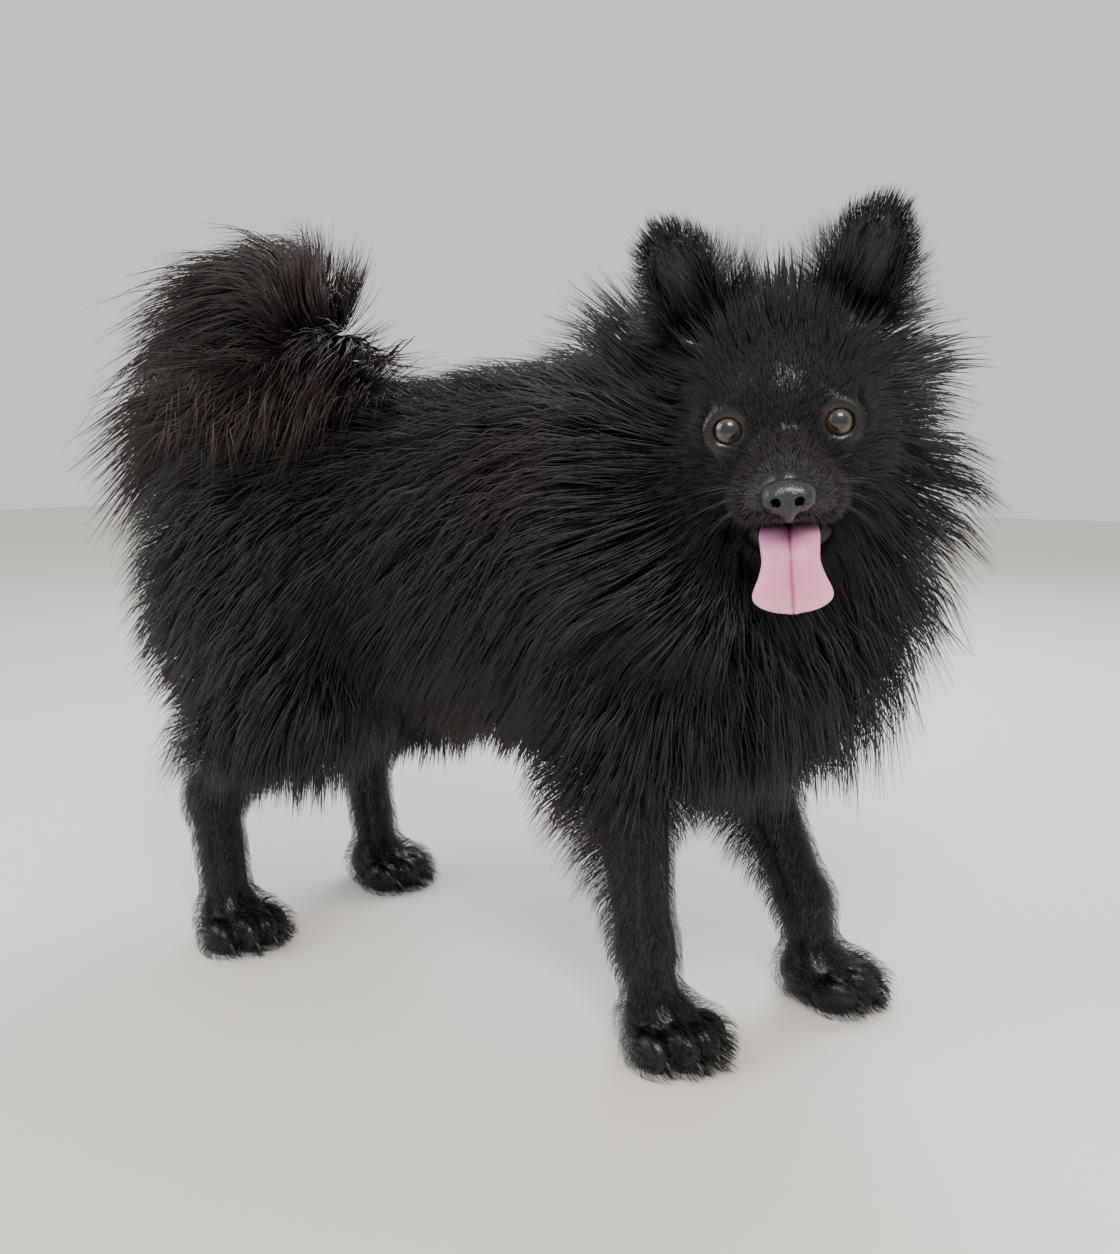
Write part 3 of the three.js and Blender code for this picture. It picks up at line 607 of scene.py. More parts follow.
HEAD_STROKES = (
    Stroke((-8, 8, 22), (-0.6, 0.1, 0.8), 16, 10),
    Stroke((-30, 8, 44), (-0.6, 0.05, 0.85), 36, 28),
    Stroke((-55, 12, 36), (-0.9, 0.1, 0.4), 48, 30),
    Stroke((-14, 34, 6), (-0.9, 0.5, 0), 16, 7),
    Stroke((-14, 32, -16), (-0.9, 0.5, -0.5), 16, 7),
    Stroke((-38, 38, -4), (-0.7, 0.8, -0.4), 44, 22),
    Stroke((-36, 32, -34), (-0.4, 0.5, -0.9), 52, 32),
    Stroke((-30, 0, -52), (-0.3, 0, -1), 46, 30),
    Stroke((-58, 36, 20), (-0.6, 0.9, 0.1), 76, 58),
    Stroke((-66, 40, -20), (-0.5, 0.9, -0.6), 88, 64),
    Stroke((-66, 30, -60), (-0.3, 0.6, -1), 86, 60),
)


TAIL_STROKES = (
    Stroke((-1, 0, 0), (-0.8, 0.2, -0.62), 84, 30),
    Stroke((0, 0, 1), (-0.9, 0.15, 0.1), 64, 30),
    Stroke((1, 0, 0), (0.25, 0.4, -0.9), 74, 30),
    Stroke((0, 0, -1), (-0.4, 0.22, -1), 118, 30),
)


class CoatLie:
    """How the coat lies at any point: its direction, length and stand-off."""

    def __init__(self) -> None:
        """Gather the strokes of both sides in the dog's frame."""
        places, ways, lengths, offs = [], [], [], []
        for strokes, head in ((BODY_STROKES, False), (HEAD_STROKES, True)):
            for stroke in strokes:
                for s in SIDES:
                    mirror = vec(1.0, s, 1.0)
                    at, way = vec(*stroke.at) * mirror, unit(vec(*stroke.way) * mirror)
                    places.append(HEAD.out(at) if head else at)
                    ways.append(HEAD.turn(way) if head else way)
                    lengths.append(stroke.length)
                    offs.append(stroke.stand_off)
        self.places, self.ways = np.array(places), np.array(ways)
        self.lengths, self.offs = np.array(lengths), np.array(offs)

    def __call__(self, p: Array) -> tuple[Array, Array, Array]:
        """The lie of the coat at points.

        Args:
            p: Points in the dog's frame.

        Returns:
            Unit directions, lengths and stand-offs.
        """
        gap = ((p[:, None, :] - self.places[None]) ** 2).sum(axis=2)
        weight = 1.0 / (gap + 60.0) ** 2
        total = weight.sum(axis=1)
        way = unit(weight @ self.ways)
        length = weight @ self.lengths / total
        off = weight @ self.offs / total
        face = HEAD.into(p)
        near = np.linalg.norm(face, axis=1) < 120.0
        bare = smoothstep(face[:, 0], -30.0, -4.0) * near
        leg = 1.0 - smoothstep(p[:, 2], 95.0, 140.0)
        way, length, off = self._on_face(p, face, way, length, off, bare)
        way, length, off = self._on_ears(p, way, length, off)
        return self._on_legs(p, way, length, off, leg)

    def _on_face(
        self, p: Array, face: Array, way: Array, length: Array, off: Array, bare: Array
    ) -> tuple[Array, Array, Array]:
        """Short hair that runs back from the nose over the muzzle, the brow and the cheeks.

        Args:
            p: Points in the dog's frame.
            face: The same points in the head's frame.
            way: The hair's directions so far.
            length: Its lengths so far.
            off: Its stand-offs so far.
            bare: How much each point belongs to the face, from 0 to 1.

        Returns:
            The changed directions, lengths and stand-offs.
        """
        outward = np.stack([np.full(len(p), -14.0), face[:, 1], face[:, 2] + 22.0], axis=1)
        outward = HEAD.turn(unit(outward))
        way = unit(way * (1.0 - bare)[:, None] + outward * bare[:, None])
        short = 3.2 + 5.0 * smoothstep(-face[:, 0], -26.0, 10.0)
        length = length * (1.0 - bare) + short * bare
        off = off * (1.0 - bare) + SHORT_HAIR * bare + 0.3
        return way, length, off

    def _on_ears(self, p: Array, way: Array, length: Array, off: Array) -> tuple[Array, Array, Array]:
        """Dense hair up the ears' backs, and hair that crosses the cup and sprays from its inner edge.

        Args:
            p: Points in the dog's frame.
            way: The hair's directions so far.
            length: Its lengths so far.
            off: Its stand-offs so far.

        Returns:
            The changed directions, lengths and stand-offs.
        """
        for s in SIDES:
            ear = Ear(s)
            amount = ear.near(p)[:, None]
            q = ear.into(p)
            low = 1.0 - smoothstep(q[:, 2], -18.0, 20.0)
            inner = smoothstep(-s * q[:, 1], 2.0, 11.0) * low
            cup = (q[:, 0] > 0.5).astype(float)
            local = np.stack(
                [-0.3 + 0.85 * cup, s * (0.3 - 0.75 * inner - 0.15 * cup), np.full(len(p), 1.0)], axis=1
            )
            way = unit(way * (1.0 - amount) + ear.turn(unit(local)) * amount)
            long = 9.0 + 13.0 * low + 14.0 * inner + 3.0 * cup
            length = length * (1.0 - amount[:, 0]) + long * amount[:, 0]
            off = off * (1.0 - amount[:, 0]) + (3.6 + 4.0 * low) * amount[:, 0]
        return way, length, off

    def _on_legs(
        self, p: Array, way: Array, length: Array, off: Array, leg: Array
    ) -> tuple[Array, Array, Array]:
        """Short hair down the legs, with a fringe behind each of them.

        Args:
            p: Points in the dog's frame.
            way: The hair's directions so far.
            length: Its lengths so far.
            off: Its stand-offs so far.
            leg: How much each point belongs to a leg, from 0 to 1.

        Returns:
            The changed directions, lengths and stand-offs.
        """
        down = np.tile(vec(-0.12, 0.0, -1.0), (len(p), 1))
        fringe = np.zeros(len(p))
        paw = 1.0 - smoothstep(p[:, 2], 16.0, 40.0)
        for each in LEGS:
            _, middle, lower = each.joints
            t = np.clip((middle[2] - p[:, 2]) / (middle[2] - lower[2]), 0.0, 1.3)
            axis_x = middle[0] + (lower[0] - middle[0]) * t
            close = (np.abs(p[:, 1] - lower[1]) < 26.0) & (np.abs(p[:, 0] - axis_x) < 45.0)
            behind = smoothstep(axis_x - p[:, 0], 3.0, 12.0) * close
            high = smoothstep(p[:, 2], 38.0 if each.fore else 88.0, 120.0)
            fringe = np.maximum(fringe, behind * high)
        backward = unit(vec(-0.75, 0.0, -1.0))
        way_leg = unit(down * (1.0 - fringe)[:, None] + backward * (1.6 * fringe)[:, None])
        forward = unit(np.tile(vec(0.8, 0.0, -0.6), (len(p), 1)))
        way_leg = unit(way_leg * (1.0 - paw)[:, None] + forward * paw[:, None])
        way = unit(way * (1.0 - leg)[:, None] + way_leg * leg[:, None])
        length = length * (1.0 - leg) + (10.0 + 1.0 * paw + 26.0 * fringe) * leg
        off = off * (1.0 - leg) + (SHORT_HAIR + 1.6 + 2.2 * paw + 11.0 * fringe) * leg
        return way, length, off


@dataclass
class Surface:
    """A closed surface: its points and its four-sided faces."""

    points: Array
    quads: Array


def grid_line(low: float, *stretches: tuple[float, float]) -> Array:
    """Grid lines from low upwards, each stretch with its own step.

    Args:
        low: The first line.
        stretches: Pairs of the place where a stretch ends and its step.

    Returns:
        The rising places of the lines.
    """
    line = [np.array([low])]
    for high, step in stretches:
        start = float(line[-1][-1])
        count = max(1, round((high - start) / step))
        line.append(np.linspace(start, high, count + 1)[1:])
    return np.concatenate(line)


def sample_grid(form: Field, lines: Sequence[Array], coarse: int = 4, reach: float = 26.0) -> Array:
    """Values of a field on a grid, worked out finely only near its surface.

    Args:
        form: The field.
        lines: The grid's lines along X, Y and Z.
        coarse: Every how many lines the first rough pass reads.
        reach: How near the surface the fine pass reads, in millimetres.

    Returns:
        The values, far outside on the grid's border.
    """
    rough_lines = [line[::coarse] for line in lines]
    rough_grid = np.stack(np.meshgrid(*rough_lines, indexing="ij"), axis=-1).reshape(-1, 3)
    values = form(rough_grid).reshape([len(line) for line in rough_lines])
    for axis, line in enumerate(lines):
        values = np.repeat(values, coarse, axis=axis).take(range(len(line)), axis=axis)
    grid = np.stack(np.meshgrid(*lines, indexing="ij"), axis=-1)
    near = np.abs(values) < reach
    points = grid[near]
    fine = np.concatenate([form(points[i : i + 200000]) for i in range(0, len(points), 200000)])
    values[near] = fine
    for axis in range(3):
        edge = [slice(None)] * 3
        for end in (0, -1):
            edge[axis] = end
            values[tuple(edge)] = FAR
    return values


def surface_of(form: Field, lines: Sequence[Array]) -> Surface:
    """The surface where a field is zero, with one vertex in each grid cell that it passes through.

    Args:
        form: The field.
        lines: The grid's lines along X, Y and Z.

    Returns:
        The closed surface, its faces pointing out.
    """
    values = sample_grid(form, lines)
    inside = values < 0.0
    shape = tuple(n - 1 for n in values.shape)
    corner = [(c & 1, (c >> 1) & 1, c >> 2) for c in range(8)]

    def shifted(block: Array, c: tuple[int, int, int]) -> Array:
        """The values at one corner of every cell."""
        return block[c[0] : c[0] + shape[0], c[1] : c[1] + shape[1], c[2] : c[2] + shape[2]]

    count = sum(shifted(inside, c).astype(np.int8) for c in corner)
    cells = np.argwhere((count > 0) & (count < 8))
    total = np.zeros((len(cells), 3))
    crossings = np.zeros(len(cells))
    spot = [lines[axis][cells[:, axis]] for axis in range(3)]
    size = [np.diff(lines[axis])[cells[:, axis]] for axis in range(3)]
    for a in range(8):
        for axis in range(3):
            if a >> axis & 1:
                continue
            b = a | (1 << axis)
            va = values[tuple(cells[:, i] + corner[a][i] for i in range(3))]
            vb = values[tuple(cells[:, i] + corner[b][i] for i in range(3))]
            crossed = (va < 0.0) != (vb < 0.0)
            share = np.clip(np.where(crossed, va / np.where(crossed, va - vb, 1.0), 0.0), 0.02, 0.98)
            for i in range(3):
                offset = corner[a][i] + (share if i == axis else 0.0)
                total[:, i] += np.where(crossed, spot[i] + size[i] * offset, 0.0)
            crossings += crossed
    points = total / crossings[:, None]
    limit = 0.4 * np.minimum(np.minimum(size[0], size[1]), size[2])
    for _ in range(2):
        depth = np.clip(form(points), -limit, limit)
        points = points - slope(form, points) * depth[:, None]
    number = np.full(shape, -1, dtype=np.int64)
    number[tuple(cells.T)] = np.arange(len(cells))
    return Surface(points, surface_quads(inside, number))


def surface_quads(inside: Array, number: Array) -> Array:
    """The four-sided faces that cross each grid edge whose ends differ.

    Args:
        inside: Which grid points are inside the form.
        number: Each cell's vertex, or -1.

    Returns:
        Four vertex numbers for each face, turned outwards.
    """
    around = {
        0: ((0, -1, -1), (0, 0, -1), (0, 0, 0), (0, -1, 0)),
        1: ((-1, 0, -1), (-1, 0, 0), (0, 0, 0), (0, 0, -1)),
        2: ((-1, -1, 0), (0, -1, 0), (0, 0, 0), (-1, 0, 0)),
    }
    quads = []
    for axis, cells in around.items():
        ahead = np.roll(inside, -1, axis=axis)
        changed = inside != ahead
        last = [slice(None)] * 3
        last[axis] = -1
        changed[tuple(last)] = False
        edges = np.argwhere(changed)
        faces = np.stack([number[tuple((edges + vec(*c).astype(int)).T)] for c in cells], axis=1)
        outward = inside[tuple(edges.T)]
        faces[~outward] = faces[~outward][:, ::-1]
        quads.append(faces)
    return np.concatenate(quads)


def linear(hex_colour: str) -> tuple[float, float, float, float]:
    """A colour written as sRGB hex, turned to linear light.

    Args:
        hex_colour: Six hex digits.

    Returns:
        Red, green, blue and an alpha of one.
    """
    parts = [int(hex_colour[i : i + 2], 16) / 255.0 for i in (0, 2, 4)]
    light = [c / 12.92 if c <= 0.04045 else ((c + 0.055) / 1.055) ** 2.4 for c in parts]
    return (light[0], light[1], light[2], 1.0)


def add_node(
    tree: bpy.types.NodeTree,
    kind: str,
    settings: dict[str, object] | None = None,
    inputs: dict[str | int, object] | None = None,
) -> bpy.types.Node:
    """Add a node with its settings and what feeds its inputs.

    Args:
        tree: The tree that gets it.
        kind: The node's type.
        settings: Properties to set on it.
        inputs: For each input, a value or the output socket that is linked to it.

    Returns:
        The new node.
    """
    node = tree.nodes.new(kind)
    for name, value in (settings or {}).items():
        setattr(node, name, value)
    for name, value in (inputs or {}).items():
        if isinstance(value, bpy.types.NodeSocket):
            tree.links.new(value, node.inputs[name])
        else:
            node.inputs[name].default_value = value
    return node


def new_material(name: str) -> tuple[bpy.types.Material, bpy.types.NodeTree]:
    """An empty node material with its output still unlinked.

    Args:
        name: The material's name.

    Returns:
        The material and its tree.
    """
    material = bpy.data.materials.new(name)
    material.use_nodes = True
    material.node_tree.nodes.clear()
    return material, material.node_tree


def finish_material(tree: bpy.types.NodeTree, shader: bpy.types.Node) -> None:
    """Link a shader to the material's output."""
    add_node(tree, "ShaderNodeOutputMaterial", inputs={"Surface": shader.outputs[0]})


def ramp(
    tree: bpy.types.NodeTree, source: bpy.types.NodeSocket, stops: Sequence[tuple[float, str]]
) -> bpy.types.Node:
    """A colour ramp with its stops.

    Args:
        tree: The material's tree.
        source: What drives the ramp.
        stops: Pairs of place and sRGB hex colour, rising.

    Returns:
        The ramp node.
    """
    node = add_node(tree, "ShaderNodeValToRGB", inputs={"Fac": source})
    elements = node.color_ramp.elements
    while len(elements) < len(stops):
        elements.new(0.5)
    for element, (place, colour) in zip(elements, stops):
        element.position = place
        element.color = linear(colour)
    return node


@dataclass(frozen=True)
class BlackGuardHair:
    """Long guard hair: black keratin, smooth and faintly oily, lit along it as a blue-black sheen."""

    shade: str = "08080a"
    black: str = "0b0b0e"
    lit: str = "1e1e26"
    rust: str = "4a2f22"
    grey: str = "8a8a90"
    sheen: str = "6a7288"
    roughness: float = 0.5

    def make(self) -> bpy.types.Material:
        """The coat's material, its tone from attributes on each tuft.

        Returns:
            The finished material.
        """
        material, tree = new_material("black_guard_hair")
        tone = add_node(tree, "ShaderNodeAttribute", {"attribute_name": "tone"})
        rust = add_node(tree, "ShaderNodeAttribute", {"attribute_name": "rust"})
        along = add_node(tree, "ShaderNodeAttribute", {"attribute_name": "along"})
        stops = ((0.0, self.shade), (0.55, self.black), (0.93, self.lit), (1.0, self.grey))
        base = ramp(tree, tone.outputs["Fac"], stops)
        tip = add_node(
            tree,
            "ShaderNodeMath",
            {"operation": "MULTIPLY"},
            {0: rust.outputs["Fac"], 1: along.outputs["Fac"]},
        )
        mixed = add_node(
            tree,
            "ShaderNodeMix",
            {"data_type": "RGBA"},
            {"Factor": tip.outputs[0], 6: base.outputs["Color"], 7: linear(self.rust)},
        )
        shader = add_node(
            tree,
            "ShaderNodeBsdfPrincipled",
            inputs={
                "Base Color": mixed.outputs[2],
                "Roughness": self.roughness,
                "IOR": 1.55,
                "Specular IOR Level": 0.34,
                "Sheen Weight": 0.06,
                "Sheen Roughness": 0.4,
                "Sheen Tint": linear(self.sheen),
            },
        )
        finish_material(tree, shader)
        return material


@dataclass(frozen=True)
class DarkSkin:
    """Skin under the coat: charcoal hide with short flat hair, seen only on the muzzle, lids and pads."""

    hide: str = "0d0c0c"
    muzzle: str = "3b322d"
    grain_mm: float = 0.9
    roughness: float = 0.62

    def make(self) -> bpy.types.Material:
        """The skin's material, browner where the muzzle attribute says, pebbled by short hair.

        Returns:
            The finished material.
        """
        material, tree = new_material("charcoal_hide_with_short_hair")
        place = add_node(tree, "ShaderNodeTexCoord")
        brown = add_node(tree, "ShaderNodeAttribute", {"attribute_name": "muzzle"})
        wet = add_node(tree, "ShaderNodeAttribute", {"attribute_name": "wet"})
        scale = 1.0 / (self.grain_mm * MM)
        grain = add_node(
            tree,
            "ShaderNodeTexNoise",
            inputs={"Vector": place.outputs["Object"], "Scale": scale, "Detail": 3.0},
        )
        blotch = add_node(
            tree,
            "ShaderNodeTexNoise",
            inputs={"Vector": place.outputs["Object"], "Scale": 140.0, "Detail": 2.0},
        )
        fac = add_node(
            tree,
            "ShaderNodeMath",
            {"operation": "MULTIPLY"},
            {0: brown.outputs["Fac"], 1: blotch.outputs["Fac"]},
        )
        colour = add_node(
            tree,
            "ShaderNodeMix",
            {"data_type": "RGBA"},
            {"Factor": fac.outputs[0], 6: linear(self.hide), 7: linear(self.muzzle)},
        )
        rough = add_node(
            tree,
            "ShaderNodeMapRange",
            inputs={"Value": wet.outputs["Fac"], "To Min": self.roughness, "To Max": 0.22},
        )
        bump = add_node(
            tree,
            "ShaderNodeBump",
            inputs={"Height": grain.outputs["Fac"], "Strength": 0.35, "Distance": 0.0006},
        )
        shader = add_node(
            tree,
            "ShaderNodeBsdfPrincipled",
            inputs={
                "Base Color": colour.outputs[2],
                "Roughness": rough.outputs[0],
                "Normal": bump.outputs[0],
                "IOR": 1.45,
            },
        )
        finish_material(tree, shader)
        return material


@dataclass(frozen=True)
class WetEye:
    """A living eye: brown fibrous iris and black pupil under a wet clear cornea that mirrors the lights."""

    iris_edge: float = 0.64
    pupil_edge: float = 0.33
    pupil: str = "050404"
    iris_inner: str = "2a1f1b"
    iris_middle: str = "5e4637"
    iris_outer: str = "43322b"
    limbus: str = "0d0908"
    white_near: str = "1d1412"
    white_far: str = "2e211e"

    def make(self) -> bpy.types.Material:
        """The eye's material, its rings read from the polar attribute.

        Returns:
            The finished material.
        """
        material, tree = new_material("wet_brown_eye")
        polar = add_node(tree, "ShaderNodeAttribute", {"attribute_name": "polar"})
        spoke = add_node(tree, "ShaderNodeAttribute", {"attribute_name": "spoke"})
        fibres = add_node(
            tree,
            "ShaderNodeTexNoise",
            {"noise_dimensions": "2D"},
            {"Vector": spoke.outputs["Vector"], "Scale": 9.0, "Detail": 4.0},
        )
        rings = ramp(
            tree,
            polar.outputs["Fac"],
            (
                (0.0, self.pupil),
                (self.pupil_edge - 0.02, self.pupil),
                (self.pupil_edge + 0.03, self.iris_inner),
                (0.5 * (self.pupil_edge + self.iris_edge), self.iris_middle),
                (self.iris_edge - 0.08, self.iris_outer),
                (self.iris_edge, self.limbus),
                (self.iris_edge + 0.1, self.white_near),
                (1.0, self.white_far),
            ),
        )
        mixed = add_node(
            tree,
            "ShaderNodeMix",
            {"data_type": "RGBA", "blend_type": "MULTIPLY"},
            {"Factor": 0.75, 6: rings.outputs["Color"], 7: fibres.outputs["Color"]},
        )
        shader = add_node(
            tree,
            "ShaderNodeBsdfPrincipled",
            inputs={
                "Base Color": mixed.outputs[2],
                "Roughness": 0.3,
                "IOR": 1.38,
                "Coat Weight": 1.0,
                "Coat Roughness": 0.02,
                "Coat IOR": 1.5,
            },
        )
        finish_material(tree, shader)
        return material


@dataclass(frozen=True)
class NoseLeather:
    """Nose leather: thick pebbled black hide kept moist, so each pebble has a soft glint; its colour is also
    painted lighter on each pebble's top as a painted highlight and darker in the crevices as painted shade.
    """

    colour: str = "17171a"
    pebble_mm: float = 0.9

    def make(self) -> bpy.types.Material:
        """The nose's material with a cobbled bump, a painted highlight on each pebble and painted shade
        between them.

        Returns:
            The finished material.
        """
        material, tree = new_material("moist_nose_leather")
        place = add_node(tree, "ShaderNodeTexCoord")
        cobble = add_node(
            tree,
            "ShaderNodeTexVoronoi",
            {"feature": "SMOOTH_F1"},
            {"Vector": place.outputs["Object"], "Scale": 1.0 / (self.pebble_mm * MM)},
        )
        # painted highlight: lighter grey at each pebble's middle; painted shade: near black in the crevices
        # between pebbles
        tone = ramp(tree, cobble.outputs["Distance"], ((0.0, "2a2a2e"), (0.6, self.colour), (1.0, "0b0b0c")))
        bump = add_node(
            tree,
            "ShaderNodeBump",
            {"invert": True},
            {"Height": cobble.outputs["Distance"], "Strength": 0.5, "Distance": 0.0004},
        )
        shader = add_node(
            tree,
            "ShaderNodeBsdfPrincipled",
            inputs={
                "Base Color": tone.outputs["Color"],
                "Roughness": 0.36,
                "Normal": bump.outputs[0],
                "IOR": 1.45,
                "Coat Weight": 0.25,
                "Coat Roughness": 0.25,
            },
        )
        finish_material(tree, shader)
        return material


@dataclass(frozen=True)
class TongueFlesh:
    """Tongue: wet pink flesh, paler at the edge, with fine papillae and light scattered under the surface;
    painted shade darkens it where it goes back into the mouth and down its middle groove.
    """

    pink: str = "e79ab8"
    edge: str = "f0b3c6"
    root: str = "cf8fb4"
    # painted shade: the tongue's root is darker where it goes back into the mouth
    painted_mouth_shade: str = "8a5068"
    papilla_mm: float = 0.7

    def make(self) -> bpy.types.Material:
        """The tongue's material, from its root to its tip and out to its edge, with painted shade at its root
        and in its groove.

        Returns:
            The finished material.
        """
        material, tree = new_material("wet_tongue_flesh")
        place = add_node(tree, "ShaderNodeTexCoord")
        along = add_node(tree, "ShaderNodeAttribute", {"attribute_name": "along"})
        across = add_node(tree, "ShaderNodeAttribute", {"attribute_name": "across"})
        # the first stop is painted shade at the tongue's root, inside the mouth
        stops = ((0.0, self.painted_mouth_shade), (0.35, self.root), (0.75, self.pink), (1.0, self.edge))
        length = ramp(tree, along.outputs["Fac"], stops)
        # painted shade: darker down the middle groove of the tongue's top
        groove = ramp(tree, across.outputs["Fac"], ((0.0, "b58aa6"), (0.1, "f0e2ea"), (1.0, "ffffff")))
        colour = add_node(
            tree,
            "ShaderNodeMix",
            {"data_type": "RGBA", "blend_type": "MULTIPLY"},
            {"Factor": 1.0, 6: length.outputs["Color"], 7: groove.outputs["Color"]},
        )
        papillae = add_node(
            tree,
            "ShaderNodeTexVoronoi",
            {"feature": "SMOOTH_F1"},
            {"Vector": place.outputs["Object"], "Scale": 1.0 / (self.papilla_mm * MM)},
        )
        bump = add_node(
            tree,
            "ShaderNodeBump",
            {"invert": True},
            {"Height": papillae.outputs["Distance"], "Strength": 0.22, "Distance": 0.0003},
        )
        shader = add_node(
            tree,
            "ShaderNodeBsdfPrincipled",
            inputs={
                "Base Color": colour.outputs[2],
                "Roughness": 0.42,
                "Normal": bump.outputs[0],
                "Subsurface Weight": 0.25,
                "Subsurface Radius": (1.0, 0.35, 0.25),
                "Subsurface Scale": 0.003,
                "IOR": 1.4,
            },
        )
        finish_material(tree, shader)
        return material


@dataclass(frozen=True)
class HornMaterial:
    """Claw horn or whisker: hard grey-brown keratin with a dull polish."""

    name: str
    colour: str
    roughness: float

    def make(self) -> bpy.types.Material:
        """The horn's material with faint lengthwise tone.

        Returns:
            The finished material.
        """
        material, tree = new_material(self.name)
        place = add_node(tree, "ShaderNodeTexCoord")
        streak = add_node(
            tree,
            "ShaderNodeTexNoise",
            inputs={"Vector": place.outputs["Object"], "Scale": 900.0, "Detail": 2.0},
        )
        tone = ramp(tree, streak.outputs["Fac"], ((0.3, "1a1817"), (0.7, self.colour)))
        shader = add_node(
            tree,
            "ShaderNodeBsdfPrincipled",
            inputs={"Base Color": tone.outputs["Color"], "Roughness": self.roughness, "IOR": 1.54},
        )
        finish_material(tree, shader)
        return material


class Slot(Enum):
    """Names of the material slots."""

    COAT = "coat"
    EYE = "eye"
    NOSE = "nose_leather"
    TONGUE = "tongue"


def dog_shift() -> Array:
    """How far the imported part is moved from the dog's own frame, in millimetres.

    Returns:
        The shift along X, Y and Z.
    """
    low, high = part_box("nose")
    middle = 0.5 * (np.array(low) + np.array(high)) / MM
    return middle - HEAD.out(vec(*NOSE))


def mesh_object(
    name: str,
    points: Array,
    faces: Array,
    shift: Array,
    material: bpy.types.Material,
    attributes: dict[str, Array] | None = None,
) -> bpy.types.Object:
    """A mesh object from points in millimetres and faces that all have the same number of corners.

    Args:
        name: The object's name.
        points: Its points in the dog's frame.
        faces: Vertex numbers, one row for each face.
        shift: The part's shift in millimetres.
        material: Its material.
        attributes: Values for each point, single numbers or triples.

    Returns:
        The linked object.
    """
    mesh = bpy.data.meshes.new(name)
    sides = faces.shape[1]
    mesh.vertices.add(len(points))
    mesh.vertices.foreach_set("co", ((points + shift) * MM).astype(np.float32).ravel())
    mesh.loops.add(faces.size)
    mesh.loops.foreach_set("vertex_index", faces.astype(np.int32).ravel())
    mesh.polygons.add(len(faces))
    mesh.polygons.foreach_set("loop_start", np.arange(0, faces.size, sides, dtype=np.int32))
    mesh.polygons.foreach_set("use_smooth", np.ones(len(faces), dtype=bool))
    mesh.update(calc_edges=True)
    for key, values in (attributes or {}).items():
        flat = values.ndim == 1
        layer = mesh.attributes.new(key, "FLOAT" if flat else "FLOAT_VECTOR", "POINT")
        layer.data.foreach_set("value" if flat else "vector", values.astype(np.float32).ravel())
    mesh.materials.append(material)
    piece = bpy.data.objects.new(name, mesh)
    bpy.context.scene.collection.objects.link(piece)
    return piece


def carry(piece: bpy.types.Object, slot: Slot, *nodes: str) -> None:
    """Put a piece on the body, hide the solids that it stands for and log its face count.

    Args:
        piece: The finished piece.
        slot: Not used.
        nodes: The solids that it replaces.
    """
    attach(piece, "root")
    if nodes:
        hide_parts(*nodes)
    LOG.info("%s: %d faces", piece.name, len(piece.data.polygons))


FLESH_NODES = (
    *("head", "jaw", "neck", "torso", "tail_base", "tail_end"),
    *[
        f"{part}_{side}"
        for part in ("ear", "thigh", "fore_leg", "fore_paw", "hind_leg", "hind_paw")
        for side in ("left", "right")
    ],
)


